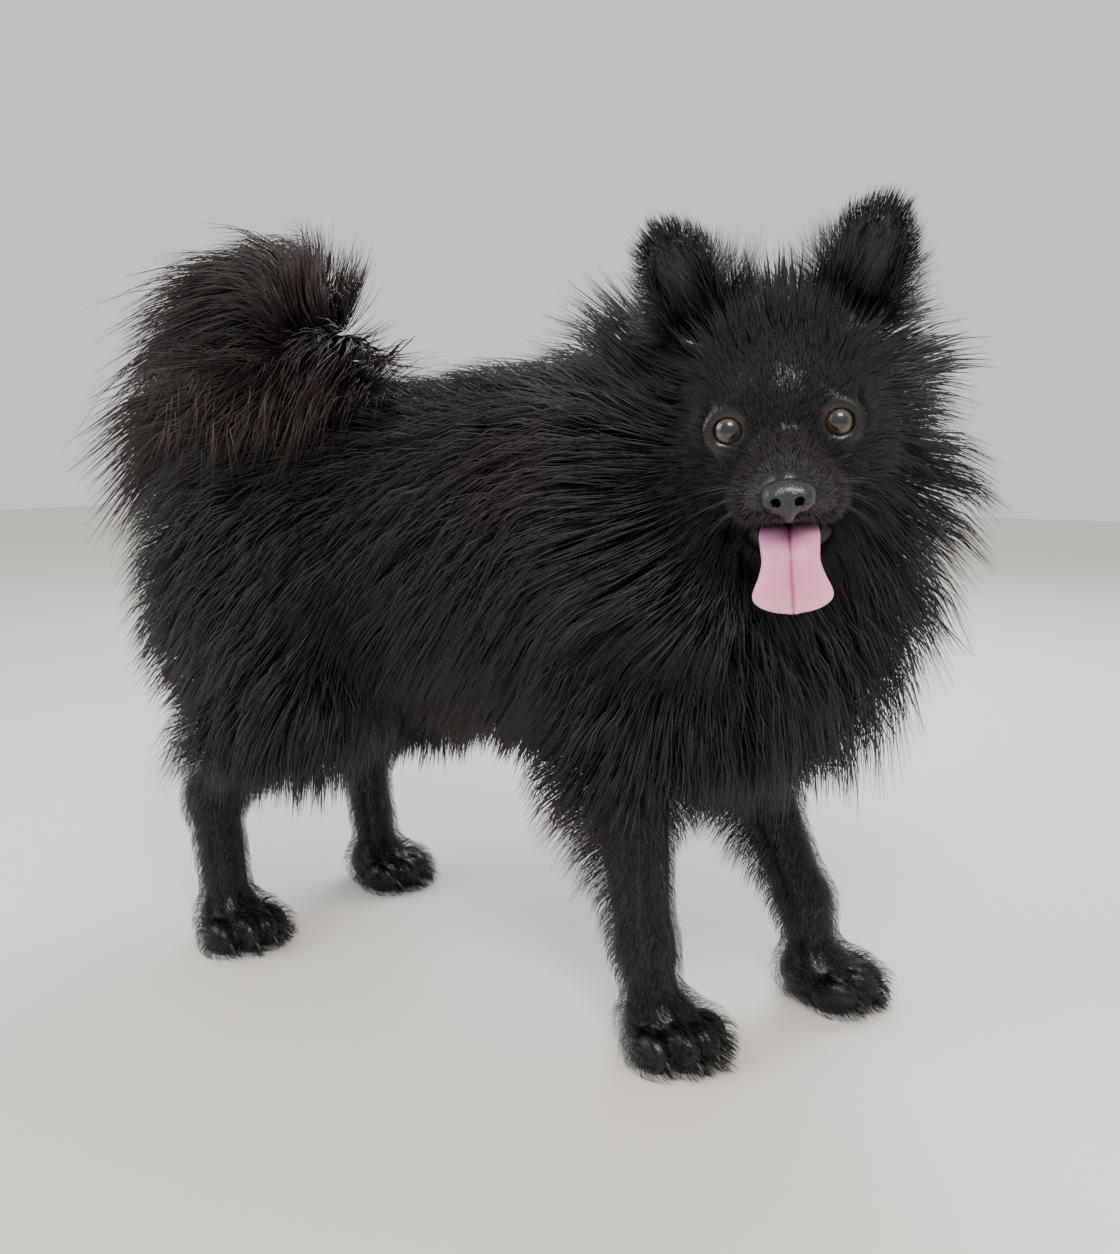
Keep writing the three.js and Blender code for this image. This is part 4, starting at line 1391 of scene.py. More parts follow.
@dataclass
class Skin:
    """The one skin over the whole dog, from the nose to the tip of the tail."""

    anatomy: Anatomy
    shift: Array
    body_step: float = 3.6
    face_step: float = 1.25
    piece: bpy.types.Object | None = None

    def build(self) -> None:
        """Mesh the skin, finely over the face, unwrap it and dress it."""
        face = self.face_step
        body = self.body_step
        lines = (
            grid_line(-215.0, (118.0, body), (206.0, face), (226.0, body)),
            grid_line(-122.0, (-104.0, body), (-30.0, face), (86.0, body)),
            grid_line(-6.0, (46.0, 2.4), (226.0, body), (306.0, face), (398.0, 2.6)),
        )
        surface = surface_of(self.form, lines)
        head = HEAD.into(surface.points)
        muzzle = smoothstep(head[:, 0], -14.0, 8.0) * (np.linalg.norm(head, axis=1) < 70.0)
        inside = smoothstep(-self.mouth_depth(head), -2.0, 1.0)
        lids = np.zeros(len(head))
        for s in SIDES:
            eye = vec(EYE_DEPTH + 6.0, s * EYE_SPACING / 2, 0.0)
            lids = np.maximum(lids, 1.0 - smoothstep(np.linalg.norm(head - eye, axis=1), 7.0, 9.5))
        wet = np.clip(lids + inside, 0.0, 1.0)
        self.piece = mesh_object(
            "skin",
            surface.points,
            surface.quads,
            self.shift,
            DarkSkin().make(),
            {"muzzle": muzzle * (1.0 - 0.8 * wet), "wet": wet},
        )
        self.unwrap()
        carry(self.piece, Slot.COAT, *FLESH_NODES)

    def form(self, p: Array) -> Array:
        """The skin's field, with the soles flat on the floor."""
        return np.maximum(self.anatomy.skin(p), 0.3 - p[:, 2])

    def mouth_depth(self, head: Array) -> Array:
        """How deep a head point is inside the mouth, negative outside."""
        return -ellipsoid(vec(2.0, 0.0, -42.0), vec(24.0, 18.0, 8.0))(head)

    def unwrap(self) -> None:
        """Unwrap the skin by its own shape into the map that the tufts share."""
        assert self.piece is not None
        bpy.ops.object.select_all(action="DESELECT")
        self.piece.select_set(True)
        bpy.context.view_layer.objects.active = self.piece
        self.piece.data.uv_layers.new(name="OFBake")
        bpy.ops.object.mode_set(mode="EDIT")
        bpy.ops.mesh.select_all(action="SELECT")
        bpy.ops.uv.smart_project(angle_limit=math.radians(66.0), island_margin=0.002)
        bpy.ops.object.mode_set(mode="OBJECT")

    def triangles(self) -> tuple[Array, Array]:
        """The skin's triangles in the dog's frame and their corners on the unwrap.

        Returns:
            Three points, and three places on the unwrap, for each triangle.
        """
        assert self.piece is not None
        mesh = self.piece.data
        mesh.calc_loop_triangles()
        count = len(mesh.loop_triangles)
        corners = np.empty(3 * count, dtype=np.int32)
        loops = np.empty(3 * count, dtype=np.int32)
        mesh.loop_triangles.foreach_get("vertices", corners)
        mesh.loop_triangles.foreach_get("loops", loops)
        points = np.empty(3 * len(mesh.vertices), dtype=np.float32)
        mesh.vertices.foreach_get("co", points)
        flat = np.empty(2 * len(mesh.loops), dtype=np.float32)
        mesh.uv_layers["OFBake"].data.foreach_get("uv", flat)
        places = points.reshape(-1, 3).astype(np.float64) / MM - self.shift
        return places[corners.reshape(-1, 3)], flat.reshape(-1, 2)[loops.reshape(-1, 3)].astype(np.float64)


@dataclass(frozen=True)
class TuftStyle:
    """How the tufts of one region are made."""

    name: str
    density: float
    width: float
    clump: float
    fray: float
    guide_gap: float
    rings: int


class Region(Enum):
    """Regions of the coat, each with its own tufts."""

    BODY = TuftStyle("body", 0.3, 0.42, 0.42, 0.075, 8.0, 3)
    FACE = TuftStyle("face", 1.3, 0.22, 0.12, 0.08, 3.6, 2)
    LEGS = TuftStyle("legs", 0.42, 0.3, 0.15, 0.1, 5.0, 2)
    TAIL = TuftStyle("tail", 0.62, 0.42, 0.62, 0.1, 8.0, 3)
    EARS = TuftStyle("ears", 1.6, 0.26, 0.15, 0.14, 3.4, 2)


BODY_HAIR, FACE_HAIR, LEG_HAIR, TAIL_HAIR, EAR_HAIR = range(len(Region))


@dataclass(frozen=True)
class RustSpot:
    """A place where the black coat is weathered to brown."""

    centre: Triple
    reach: float
    most: float


RUST_SPOTS = (
    RustSpot((70.0, -60.0, 275.0), 45.0, 0.35),
    RustSpot((20.0, -40.0, 155.0), 55.0, 0.45),
    RustSpot((75.0, -45.0, 120.0), 40.0, 0.6),
    RustSpot((-150.0, -50.0, 190.0), 60.0, 0.25),
)


def tuft_faces(rings: int) -> Array:
    """Triangles of one tuft: a closed root, three-sided rings and a tip.

    Args:
        rings: How many rings of three points it has.

    Returns:
        Vertex numbers, three for each face.
    """
    faces = [[0, 2, 1]]
    for ring_number in range(rings - 1):
        for side in range(3):
            a, b = 3 * ring_number + side, 3 * ring_number + (side + 1) % 3
            faces += [[a, b, a + 3], [b, b + 3, a + 3]]
    last = 3 * (rings - 1)
    faces += [[last + side, last + (side + 1) % 3, last + 3] for side in range(3)]
    return np.array(faces)


@dataclass
class Tufts:
    """The coat: fine three-sided tufts that follow guide paths over the body."""

    anatomy: Anatomy
    lie: CoatLie
    skin: Skin
    shift: Array
    low: Array
    high: Array
    seed: int = 7
    steps: int = 9
    per_piece: int = 190000
    box_margin: float = 0.012
    lowest: float = 0.4
    root_patch: float = 0.003
    rng: np.random.Generator = field(init=False)

    def __post_init__(self) -> None:
        """Seed the random draws."""
        self.rng = np.random.default_rng(self.seed)

    def region_of(self, p: Array) -> Array:
        """Which region each point is in.

        Args:
            p: Points on the skin.

        Returns:
            The region's number for each point.
        """
        head = HEAD.into(p)
        on_face = (np.linalg.norm(head, axis=1) < 100.0) & (head[:, 0] > -22.0)
        ears = np.maximum(Ear(1.0).near(p), Ear(-1.0).near(p)) > 0.5
        on_tail = self.anatomy.tail(p) < self.anatomy.flesh(p)
        legs = (p[:, 2] < 128.0) & ~on_face
        kind = np.full(len(p), BODY_HAIR)
        kind[legs] = LEG_HAIR
        kind[on_face] = FACE_HAIR
        kind[on_tail] = TAIL_HAIR
        kind[ears] = EAR_HAIR
        return kind

    def roots(self) -> tuple[Array, Array, Array]:
        """Roots scattered over the skin, with their places on the unwrap and their regions.

        Returns:
            The roots, their places on the unwrap and their region numbers.
        """
        triangles, flat = self.skin.triangles()
        edge1, edge2 = triangles[:, 1] - triangles[:, 0], triangles[:, 2] - triangles[:, 0]
        area = 0.5 * np.linalg.norm(np.cross(edge1, edge2), axis=1)
        middle = triangles.mean(axis=1)
        kind = self.region_of(middle)
        styles = [region.value for region in Region]
        density = np.array([style.density for style in styles])[kind]
        density = np.where(self.hairless(middle), 0.0, density)
        wanted = area * density
        count = np.floor(wanted + self.rng.random(len(wanted))).astype(int)
        which = np.repeat(np.arange(len(count)), count)
        a, b = self.rng.random(len(which)), self.rng.random(len(which))
        over = a + b > 1.0
        a[over], b[over] = 1.0 - a[over], 1.0 - b[over]
        root = triangles[which, 0] + a[:, None] * edge1[which] + b[:, None] * edge2[which]
        uv = flat[which, 0] * (1 - a - b)[:, None] + flat[which, 1] * a[:, None] + flat[which, 2] * b[:, None]
        return root, uv, kind[which]

    def hairless(self, p: Array) -> Array:
        """Where no hair grows: the soles, the eyes, the nose, the lids and the mouth.

        Args:
            p: Points on the skin.

        Returns:
            True for each hairless point.
        """
        head = HEAD.into(p)
        bare = p[:, 2] < 1.5
        for s in SIDES:
            eye = vec(EYE_DEPTH + 5.0, s * EYE_SPACING / 2, 0.0)
            bare |= np.linalg.norm(head - eye, axis=1) < 9.3
        nose = vec(MUZZLE - 2.0, 0.0, -25.5)
        bare |= np.linalg.norm((head - nose) / vec(8.5, 11.5, 8.5), axis=1) < 1.0
        bare |= self.skin.mouth_depth(head) > -1.0
        return bare

    def guides(self, root: Array, kind: Array) -> tuple[Array, Array]:
        """Guide paths combed over the body from some of the roots.

        Args:
            root: Points on the skin.
            kind: Their regions.

        Returns:
            The paths, one row of points for each guide, and the numbers of their roots.
        """
        gaps = np.array([region.value.guide_gap for region in Region])
        cell = np.floor(root / gaps[kind][:, None]).astype(np.int64)
        key = ((cell[:, 0] * 4099 + cell[:, 1]) * 4099 + cell[:, 2]) * len(Region) + kind
        _, first = np.unique(key, return_index=True)
        at = root[first].copy()
        _, length, off = self.lie(at)
        tail = kind[first] == TAIL_HAIR
        length = np.where(tail, self.tail_lie(at)[1], length)
        off = np.where(tail, np.minimum(off, 30.0), off)
        n = len(at)
        reach = length * self.rng.uniform(0.86, 1.12, n)
        height = off * self.rng.uniform(0.82, 1.06, n)
        sway = self.rng.uniform(-0.2, 0.2, n)
        path = [at.copy()]
        ears = kind[first] == EAR_HAIR
        heading = slope(self.anatomy.skin, at)
        flesh = self.anatomy.flesh
        for step in range(1, self.steps + 1):
            share = step / self.steps
            way, _, _ = self.lie(at)
            falling = self.tail_lie(at)[0] + vec(0.0, 0.0, -0.45 * share)
            way = np.where(tail[:, None], unit(falling), way)
            lift = slope(flesh, at)
            across = unit(np.cross(lift, way))
            turned = unit(way + across * sway[:, None])
            turned += lift * np.maximum(0.0, -(turned * lift).sum(axis=1))[:, None]
            rise = np.where(tail, off + 6.0, height * min(1.0, 1.9 * share) ** 0.7)
            short = np.clip((rise - flesh(at)) / (reach / self.steps), 0.0, 1.3)
            turned = turned + lift * short[:, None]
            keep = np.where(tail, 0.72, np.where(ears, 0.8, 0.35))[:, None]
            heading = unit(unit(turned) * (1.0 - keep) + heading * keep)
            at = at + heading * (reach / self.steps)[:, None]
            path.append(at.copy())
        return np.stack(path, axis=1), first

    def tail_lie(self, p: Array) -> tuple[Array, Array]:
        """How the tail's hair lies: back and down from the loop, upright where the loop turns over in front.

        Args:
            p: Points on or over the tail.

        Returns:
            Unit directions and lengths.
        """
        spoke = p - TAIL.centre
        side = np.where(spoke[:, 1] > -8.0, 1.0, -1.0)
        spoke[:, 1] = 0.0
        spoke = unit(spoke)
        way, length, total = np.zeros((len(p), 3)), np.zeros(len(p)), np.zeros(len(p))
        for stroke in TAIL_STROKES:
            weight = np.maximum(0.0, spoke @ vec(*stroke.at))
            way += weight[:, None] * vec(*stroke.way)
            length += weight * stroke.length
            total += weight
        way[:, 1] *= side
        upright = np.clip(1.7 * np.minimum(spoke[:, 0], spoke[:, 2]), 0.0, 1.0)
        straight = np.tile(vec(0.1, 0.1, 0.9), (len(p), 1))
        straight[:, 1] *= side
        way = unit(unit(way) * (1.0 - upright)[:, None] + straight * upright[:, None])
        return way, length / np.maximum(total, 1e-6) * (1.0 - upright) + 40.0 * upright

    def strands(self) -> dict[str, Array]:
        """Every tuft's path, side and measures.

        Returns:
            Paths, places on the unwrap, regions, widths and roots, one row for each tuft.
        """
        root, uv, kind = self.roots()
        path, first = self.guides(root, kind)
        LOG.info("coat: %d tufts on %d guides", len(root), len(first))
        tree = KDTree(len(first))
        for i, number in enumerate(first):
            tree.insert(Vector(root[number]), i)
        tree.balance()
        near = np.zeros((len(root), 3), dtype=int)
        gap = np.zeros((len(root), 3))
        for i, p in enumerate(root):
            for j, (_, index, distance) in enumerate(tree.find_n(Vector(p), 3)):
                near[i, j], gap[i, j] = index, distance
        weight = 1.0 / (gap + 0.6) ** 2
        weight /= weight.sum(axis=1, keepdims=True)
        styles = [region.value for region in Region]
        clump = np.array([s.clump for s in styles])[kind]
        fray = np.array([s.fray for s in styles])[kind]
        width = np.array([s.width for s in styles])[kind]
        t = np.linspace(0.0, 1.0, self.steps + 1)
        travel = path - path[:, :1]
        size = self.rng.uniform(0.72, 1.1, len(root))
        tail_size = self.rng.uniform(0.8, 1.12, len(root))
        size = size * np.where(kind == TAIL_HAIR, tail_size, 1.0)
        own = (travel[near] * weight[:, :, None, None]).sum(axis=1) * size[:, None, None]
        offset = root - path[near[:, 0], 0]
        pull = (clump[:, None] * t**1.4)[:, :, None]
        places = root[:, None, :] + own - offset[:, None, :] * pull
        reach = np.linalg.norm(own[:, -1], axis=1)
        stray = self.rng.normal(size=(len(root), 3)) * (fray * reach)[:, None] * 0.5
        places = places + stray[:, None, :] * (t**1.6)[None, :, None]
        slim = width * np.clip(reach / 45.0, 0.55, 1.15) * self.rng.uniform(0.75, 1.25, len(root))
        return {"places": self.tame(places), "uv": uv, "kind": kind, "width": slim, "root": root}

    def tame(self, places: Array) -> Array:
        """Keep every point close to the solids' own box and above the floor.

        Args:
            places: Points of the tufts' paths.

        Returns:
            The points, moved where they went too far.
        """
        flat = places.reshape(-1, 3)
        margin = self.box_margin * (self.high - self.low)
        flat = np.clip(flat, self.low - margin, self.high + margin)
        flat[:, 2] = np.maximum(flat[:, 2], self.lowest)
        return flat.reshape(places.shape)

    def build(self, material: bpy.types.Material) -> None:
        """Make the tufts as closed wedges, in pieces of one region that stay under the triangle limit.

        Args:
            material: The coat's material.
        """
        strands = self.strands()
        for number, region in enumerate(Region):
            style = region.value
            chosen = np.flatnonzero(strands["kind"] == number)
            chosen = chosen[np.argsort(strands["root"][chosen, 0], kind="stable")]
            pieces = max(1, math.ceil(len(chosen) * (6 * style.rings - 2) / self.per_piece))
            for part, some in enumerate(np.array_split(chosen, pieces)):
                own = {key: values[some] for key, values in strands.items()}
                self.build_piece(f"coat_{style.name}_{part + 1}", own, style.rings, material)

    def build_piece(self, name: str, own: dict[str, Array], rings: int, material: bpy.types.Material) -> None:
        """One coat piece.

        Args:
            name: The piece's name.
            own: Paths and measures of its tufts.
            rings: How many rings of three points each tuft has before its tip.
            material: The coat's material.
        """
        n = len(own["root"])
        stops = np.linspace(0.0, self.steps, rings + 1)
        lower = np.minimum(stops.astype(int), self.steps - 1)
        part = (stops - lower)[None, :, None]
        places = own["places"][:, lower] * (1.0 - part) + own["places"][:, lower + 1] * part
        root, kind = own["root"], own["kind"]
        lift = slope(self.anatomy.tail if name.startswith("coat_tail") else self.anatomy.flesh, root)
        points = np.empty((n, 3 * rings + 1, 3))
        flat_side = unit(np.cross(lift, unit(places[:, -1] - root)) + vec(0.015, 0.05, 0.01))
        for ring_number in range(rings):
            along = unit(places[:, ring_number + 1] - places[:, max(ring_number - 1, 0)])
            across = unit(flat_side - along * (flat_side * along).sum(axis=1, keepdims=True))
            up = np.cross(along, across)
            share = ring_number / rings
            half = (own["width"] * (0.8 + 0.8 * share - 1.2 * share**2))[:, None]
            centre = places[:, ring_number]
            points[:, 3 * ring_number] = centre - across * half
            points[:, 3 * ring_number + 1] = centre + across * half
            points[:, 3 * ring_number + 2] = centre + up * half * 0.55
        points[:, -1] = places[:, rings]
        shape = tuft_faces(rings)
        corners = 3 * rings + 1
        every = (np.arange(n)[:, None, None] * corners + shape[None]).reshape(-1, 3)
        along_value = np.tile(np.append(np.repeat(np.arange(rings), 3) / rings, 1.0), n)
        values = {
            "tone": np.repeat(self.tones(root, kind), corners),
            "rust": np.repeat(self.rust(root, kind), corners),
            "along": along_value,
        }
        piece = mesh_object(name, points.reshape(-1, 3), every, self.shift, material, values)
        corner = np.array([[s, r / rings] for r in range(rings) for s in (0.0, 1.0, 0.5)] + [[0.5, 1.0]])
        patch = self.root_patch * (corner - 0.5)[shape][None]
        spots = np.clip(own["uv"], 0.002, 0.998)[:, None, None, :] + patch
        layer = piece.data.uv_layers.new(name="OFBake")
        layer.data.foreach_set("uv", spots.astype(np.float32).ravel())
        carry(piece, Slot.COAT)

    def tones(self, root: Array, kind: Array) -> Array:
        """A tone for each tuft: mostly black, some lit, charcoal on the muzzle, a few grey on the chest.

        Args:
            root: The tufts' roots.
            kind: Their regions.

        Returns:
            Tones from 0 to 1.
        """
        tone = np.clip(self.rng.normal(0.5, 0.2, len(root)), 0.0, 0.92)
        chest = np.linalg.norm((root - vec(190.0, 20.0, 170.0)) / vec(60.0, 60.0, 50.0), axis=1) < 1.0
        grey = chest & (self.rng.random(len(root)) < 0.006)
        tone[grey] = 1.0
        muzzle = smoothstep(HEAD.into(root)[:, 0], 0.0, 24.0) * (kind == FACE_HAIR)
        return tone * (1.0 - muzzle) + (0.91 + 0.045 * tone) * muzzle

    def rust(self, root: Array, kind: Array) -> Array:
        """How brown each tuft's end is: the tail, the shoulder, the belly's edge and behind the forelegs.

        Args:
            root: The tufts' roots.
            kind: Their regions.

        Returns:
            Shares of brown from 0 to 1.
        """
        amount = np.full(len(root), 0.05)
        amount[kind == TAIL_HAIR] = 0.55
        for spot in RUST_SPOTS:
            gap = np.linalg.norm(root - vec(*spot.centre), axis=1)
            amount = np.maximum(amount, spot.most * (1.0 - smoothstep(gap, 0.3 * spot.reach, spot.reach)))
        forward = smoothstep(HEAD.into(root)[:, 0], -6.0, 14.0) * (kind == FACE_HAIR)
        amount = np.maximum(amount, 0.45 * forward)
        return amount * self.rng.uniform(0.4, 1.3, len(root)).clip(0.0, 1.0)


@dataclass
class Eyes:
    """Both eyeballs, each a sphere with a bulging cornea that looks out of the face."""

    shift: Array
    rows: int = 40
    columns: int = 56
    bulge: float = 0.5
    gaze: float = -1.0

    def build(self) -> None:
        """Make the left and the right eye."""
        material = WetEye().make()
        for s, side in ((1.0, "left"), (-1.0, "right")):
            self.build_one(s, side, material)

    def build_one(self, s: float, side: str, material: bpy.types.Material) -> None:
        """One eye.

        Args:
            s: 1 for the left eye, -1 for the right one.
            side: The word in the node's name.
            material: The eyes' material.
        """
        polar = np.linspace(0.0, math.pi, self.rows + 1)[1:-1]
        turn = np.linspace(0.0, 2.0 * math.pi, self.columns, endpoint=False)
        p, a = [grid.ravel() for grid in np.meshgrid(polar, turn, indexing="ij")]
        p = np.concatenate([[0.0], p, [math.pi]])
        a = np.concatenate([[0.0], a, [0.0]])
        radius = EYE_RADIUS - 0.1 + self.bulge * (1.0 - smoothstep(p, 0.25, 0.75))
        out, wide = radius * np.cos(p), radius * np.sin(p)
        local = np.stack([out, wide * np.cos(a), wide * np.sin(a)], axis=1)
        gaze = math.radians(self.gaze * s)
        c, n = math.cos(gaze), math.sin(gaze)
        x, y, z = local.T
        turned = np.stack([c * x - n * y, n * x + c * y, z], axis=1)
        points = HEAD.out(turned + vec(EYE_DEPTH, s * EYE_SPACING / 2, 0.0))
        faces = closed_rows(len(polar), self.columns)
        spoke = np.stack([np.cos(a) * 2.0, np.sin(a) * 2.0, p * 0.5], axis=1)
        values = {"polar": p, "spoke": spoke}
        piece = mesh_object(f"eyeball_{side}", points, faces, self.shift, material, values)
        carry(piece, Slot.EYE, f"eye_{side}")


def closed_rows(rows: int, columns: int) -> Array:
    """Triangles of a ball: a first pole, rows of points round it and a last pole.

    Args:
        rows: How many rings of points.
        columns: How many points in a ring.

    Returns:
        Vertex numbers, three for each face.
    """
    faces = []
    for j in range(columns):
        k = (j + 1) % columns
        faces.append([0, 1 + j, 1 + k])
        for i in range(rows - 1):
            a, b = 1 + i * columns + j, 1 + i * columns + k
            faces += [[a, a + columns, b], [b, a + columns, b + columns]]
        base = 1 + (rows - 1) * columns
        faces.append([base + j, 1 + rows * columns, base + k])
    return np.array(faces)


@dataclass
class Nose:
    """The nose leather with its nostrils and the groove between them."""

    shift: Array
    step: float = 0.55

    def form(self, p: Array) -> Array:
        """The nose's field in the head's frame.

        Args:
            p: Points in the head's frame.

        Returns:
            Their distances from the nose leather.
        """
        middle = vec(*NOSE)
        pad = blend(
            3.0,
            ellipsoid(middle, vec(7.3, 9.8, 6.4)),
            *[ellipsoid(middle + vec(1.8, s * 5.4, -1.2), vec(5.2, 4.4, 4.6)) for s in SIDES],
            limb(middle + vec(3.0, 0.0, -3.5), middle + vec(0.5, 0.0, -8.0), 3.0, 2.2),
        )
        for s in SIDES:
            opening = middle + vec(7.4, s * 4.7, -2.6)
            pad = carve(1.2, pad, limb(opening, opening + vec(-5.0, -s * 1.2, 0.6), 1.9, 1.4))
            slit = limb(opening + vec(0.2, s * 0.8, 0.0), opening + vec(-2.0, s * 4.6, -0.6), 1.1, 0.5)
            pad = carve(1.0, pad, slit)
        pad = carve(1.0, pad, limb(middle + vec(8.0, 0.0, 0.0), middle + vec(4.5, 0.0, -9.0), 0.5, 0.7))
        return pad(p)

    def build(self) -> None:
        """Mesh the nose finely and dress it."""
        lines = (
            grid_line(MUZZLE - 15.0, (MUZZLE + 10.0, self.step)),
            grid_line(-14.0, (14.0, self.step)),
            grid_line(-39.0, (-14.0, self.step)),
        )
        surface = surface_of(self.form, lines)
        points = HEAD.out(surface.points)
        piece = mesh_object("nose_leather_pad", points, surface.quads, self.shift, NoseLeather().make())
        carry(piece, Slot.NOSE, "nose")


@dataclass
class Tongue:
    """The tongue: it lies over the lower lip, hangs and widens to a round tip, with a groove down it."""

    shift: Array
    line: tuple[Triple, ...] = (
        (-14, 0, -39),
        (-4, 0, -39.5),
        (6, 0, -40),
        (15, 0, -41.5),
        (21, 0, -45),
        (24.5, 0, -50.5),
        (25.4, 0, -56),
        (25.2, 0, -61),
        (24.5, 0, -66),
        (23.4, 0, -70.7),
    )
    widths: tuple[float, ...] = (9.5, 10.2, 11, 11.6, 11.3, 11.0, 12.4, 14.6, 16.0, 16.0)
    columns: int = 40
    rows: int = 60
    tip_rows: int = 13
    thickness: float = 2.2

    def build(self) -> None:
        """Loft the tongue and dress it."""
        share = np.linspace(0.0, len(self.line) - 1.0, self.rows)
        control = np.array(self.line, dtype=float)
        middle = np.stack([smooth_curve(control[:, i], share) for i in range(3)], axis=1)
        half = smooth_curve(np.array(self.widths), share)
        tip = np.linspace(0.0, 0.995, self.tip_rows)
        half[-self.tip_rows :] *= np.sqrt(1.0 - tip**2)
        along = unit(np.gradient(middle, axis=0))
        up = np.cross(along, vec(0.0, 1.0, 0.0))
        up *= np.sign(up[0, 2])
        turn = np.linspace(0.0, 2.0 * math.pi, self.columns, endpoint=False)
        side, rise = np.cos(turn), np.sin(turn)
        groove = np.exp(-((side / 0.16) ** 2)) * np.maximum(rise, 0.0) * 0.9
        crown = 0.35 * np.maximum(rise, 0.0) * (1.0 - side**2)
        rows = []
        for i in range(self.rows):
            t = i / (self.rows - 1)
            fade = min(1.0, 1.6 - 1.1 * t) * self.thickness
            height = (np.sign(rise) * np.abs(rise) ** 0.8 - groove + crown) * fade
            wave = 0.9 * math.sin(9.0 * t) * side**2
            across = vec(0.0, 1.0, 0.0) * (side * half[i])[:, None]
            rows.append(middle[i] + across + up[i] * (height + wave)[:, None])
        points = np.concatenate([middle[:1], *rows, middle[-1:]])
        faces = closed_rows(self.rows, self.columns)
        along_value = np.concatenate([[0.0], np.repeat(np.linspace(0, 1, self.rows), self.columns), [1.0]])
        beside = np.concatenate([[0.0], np.tile(np.where(rise > -0.2, np.abs(side), 1.0), self.rows), [1.0]])
        piece = mesh_object(
            "tongue_blade",
            HEAD.out(points),
            faces,
            self.shift,
            TongueFlesh().make(),
            {"along": along_value, "across": beside},
        )
        outward(piece)
        carry(piece, Slot.TONGUE, "tongue")


def smooth_curve(values: Array, share: Array) -> Array:
    """A smooth curve through values at whole shares.

    Args:
        values: The values to pass through.
        share: Where to read the curve, from 0 to the last value's number.

    Returns:
        The curve's values.
    """
    padded = np.concatenate([[2 * values[0] - values[1]], values, [2 * values[-1] - values[-2]]])
    i = np.minimum(share.astype(int), len(values) - 2)
    t = share - i
    a, b, c, d = padded[i], padded[i + 1], padded[i + 2], padded[i + 3]
    return 0.5 * (2 * b + (c - a) * t + (2 * a - 5 * b + 4 * c - d) * t**2 + (3 * b - a - 3 * c + d) * t**3)


def outward(piece: bpy.types.Object) -> None:
    """Turn a closed piece's faces outwards if its volume comes out negative.

    Args:
        piece: A closed piece of triangles.
    """
    mesh = piece.data
    points = np.empty(3 * len(mesh.vertices), dtype=np.float32)
    mesh.vertices.foreach_get("co", points)
    points = points.reshape(-1, 3).astype(np.float64)
    mesh.calc_loop_triangles()
    corners = np.empty(3 * len(mesh.loop_triangles), dtype=np.int32)
    mesh.loop_triangles.foreach_get("vertices", corners)
    a, b, c = [points[corners.reshape(-1, 3)[:, i]] for i in range(3)]
    if np.einsum("ij,ij->i", a, np.cross(b, c)).sum() < 0.0:
        mesh.flip_normals()


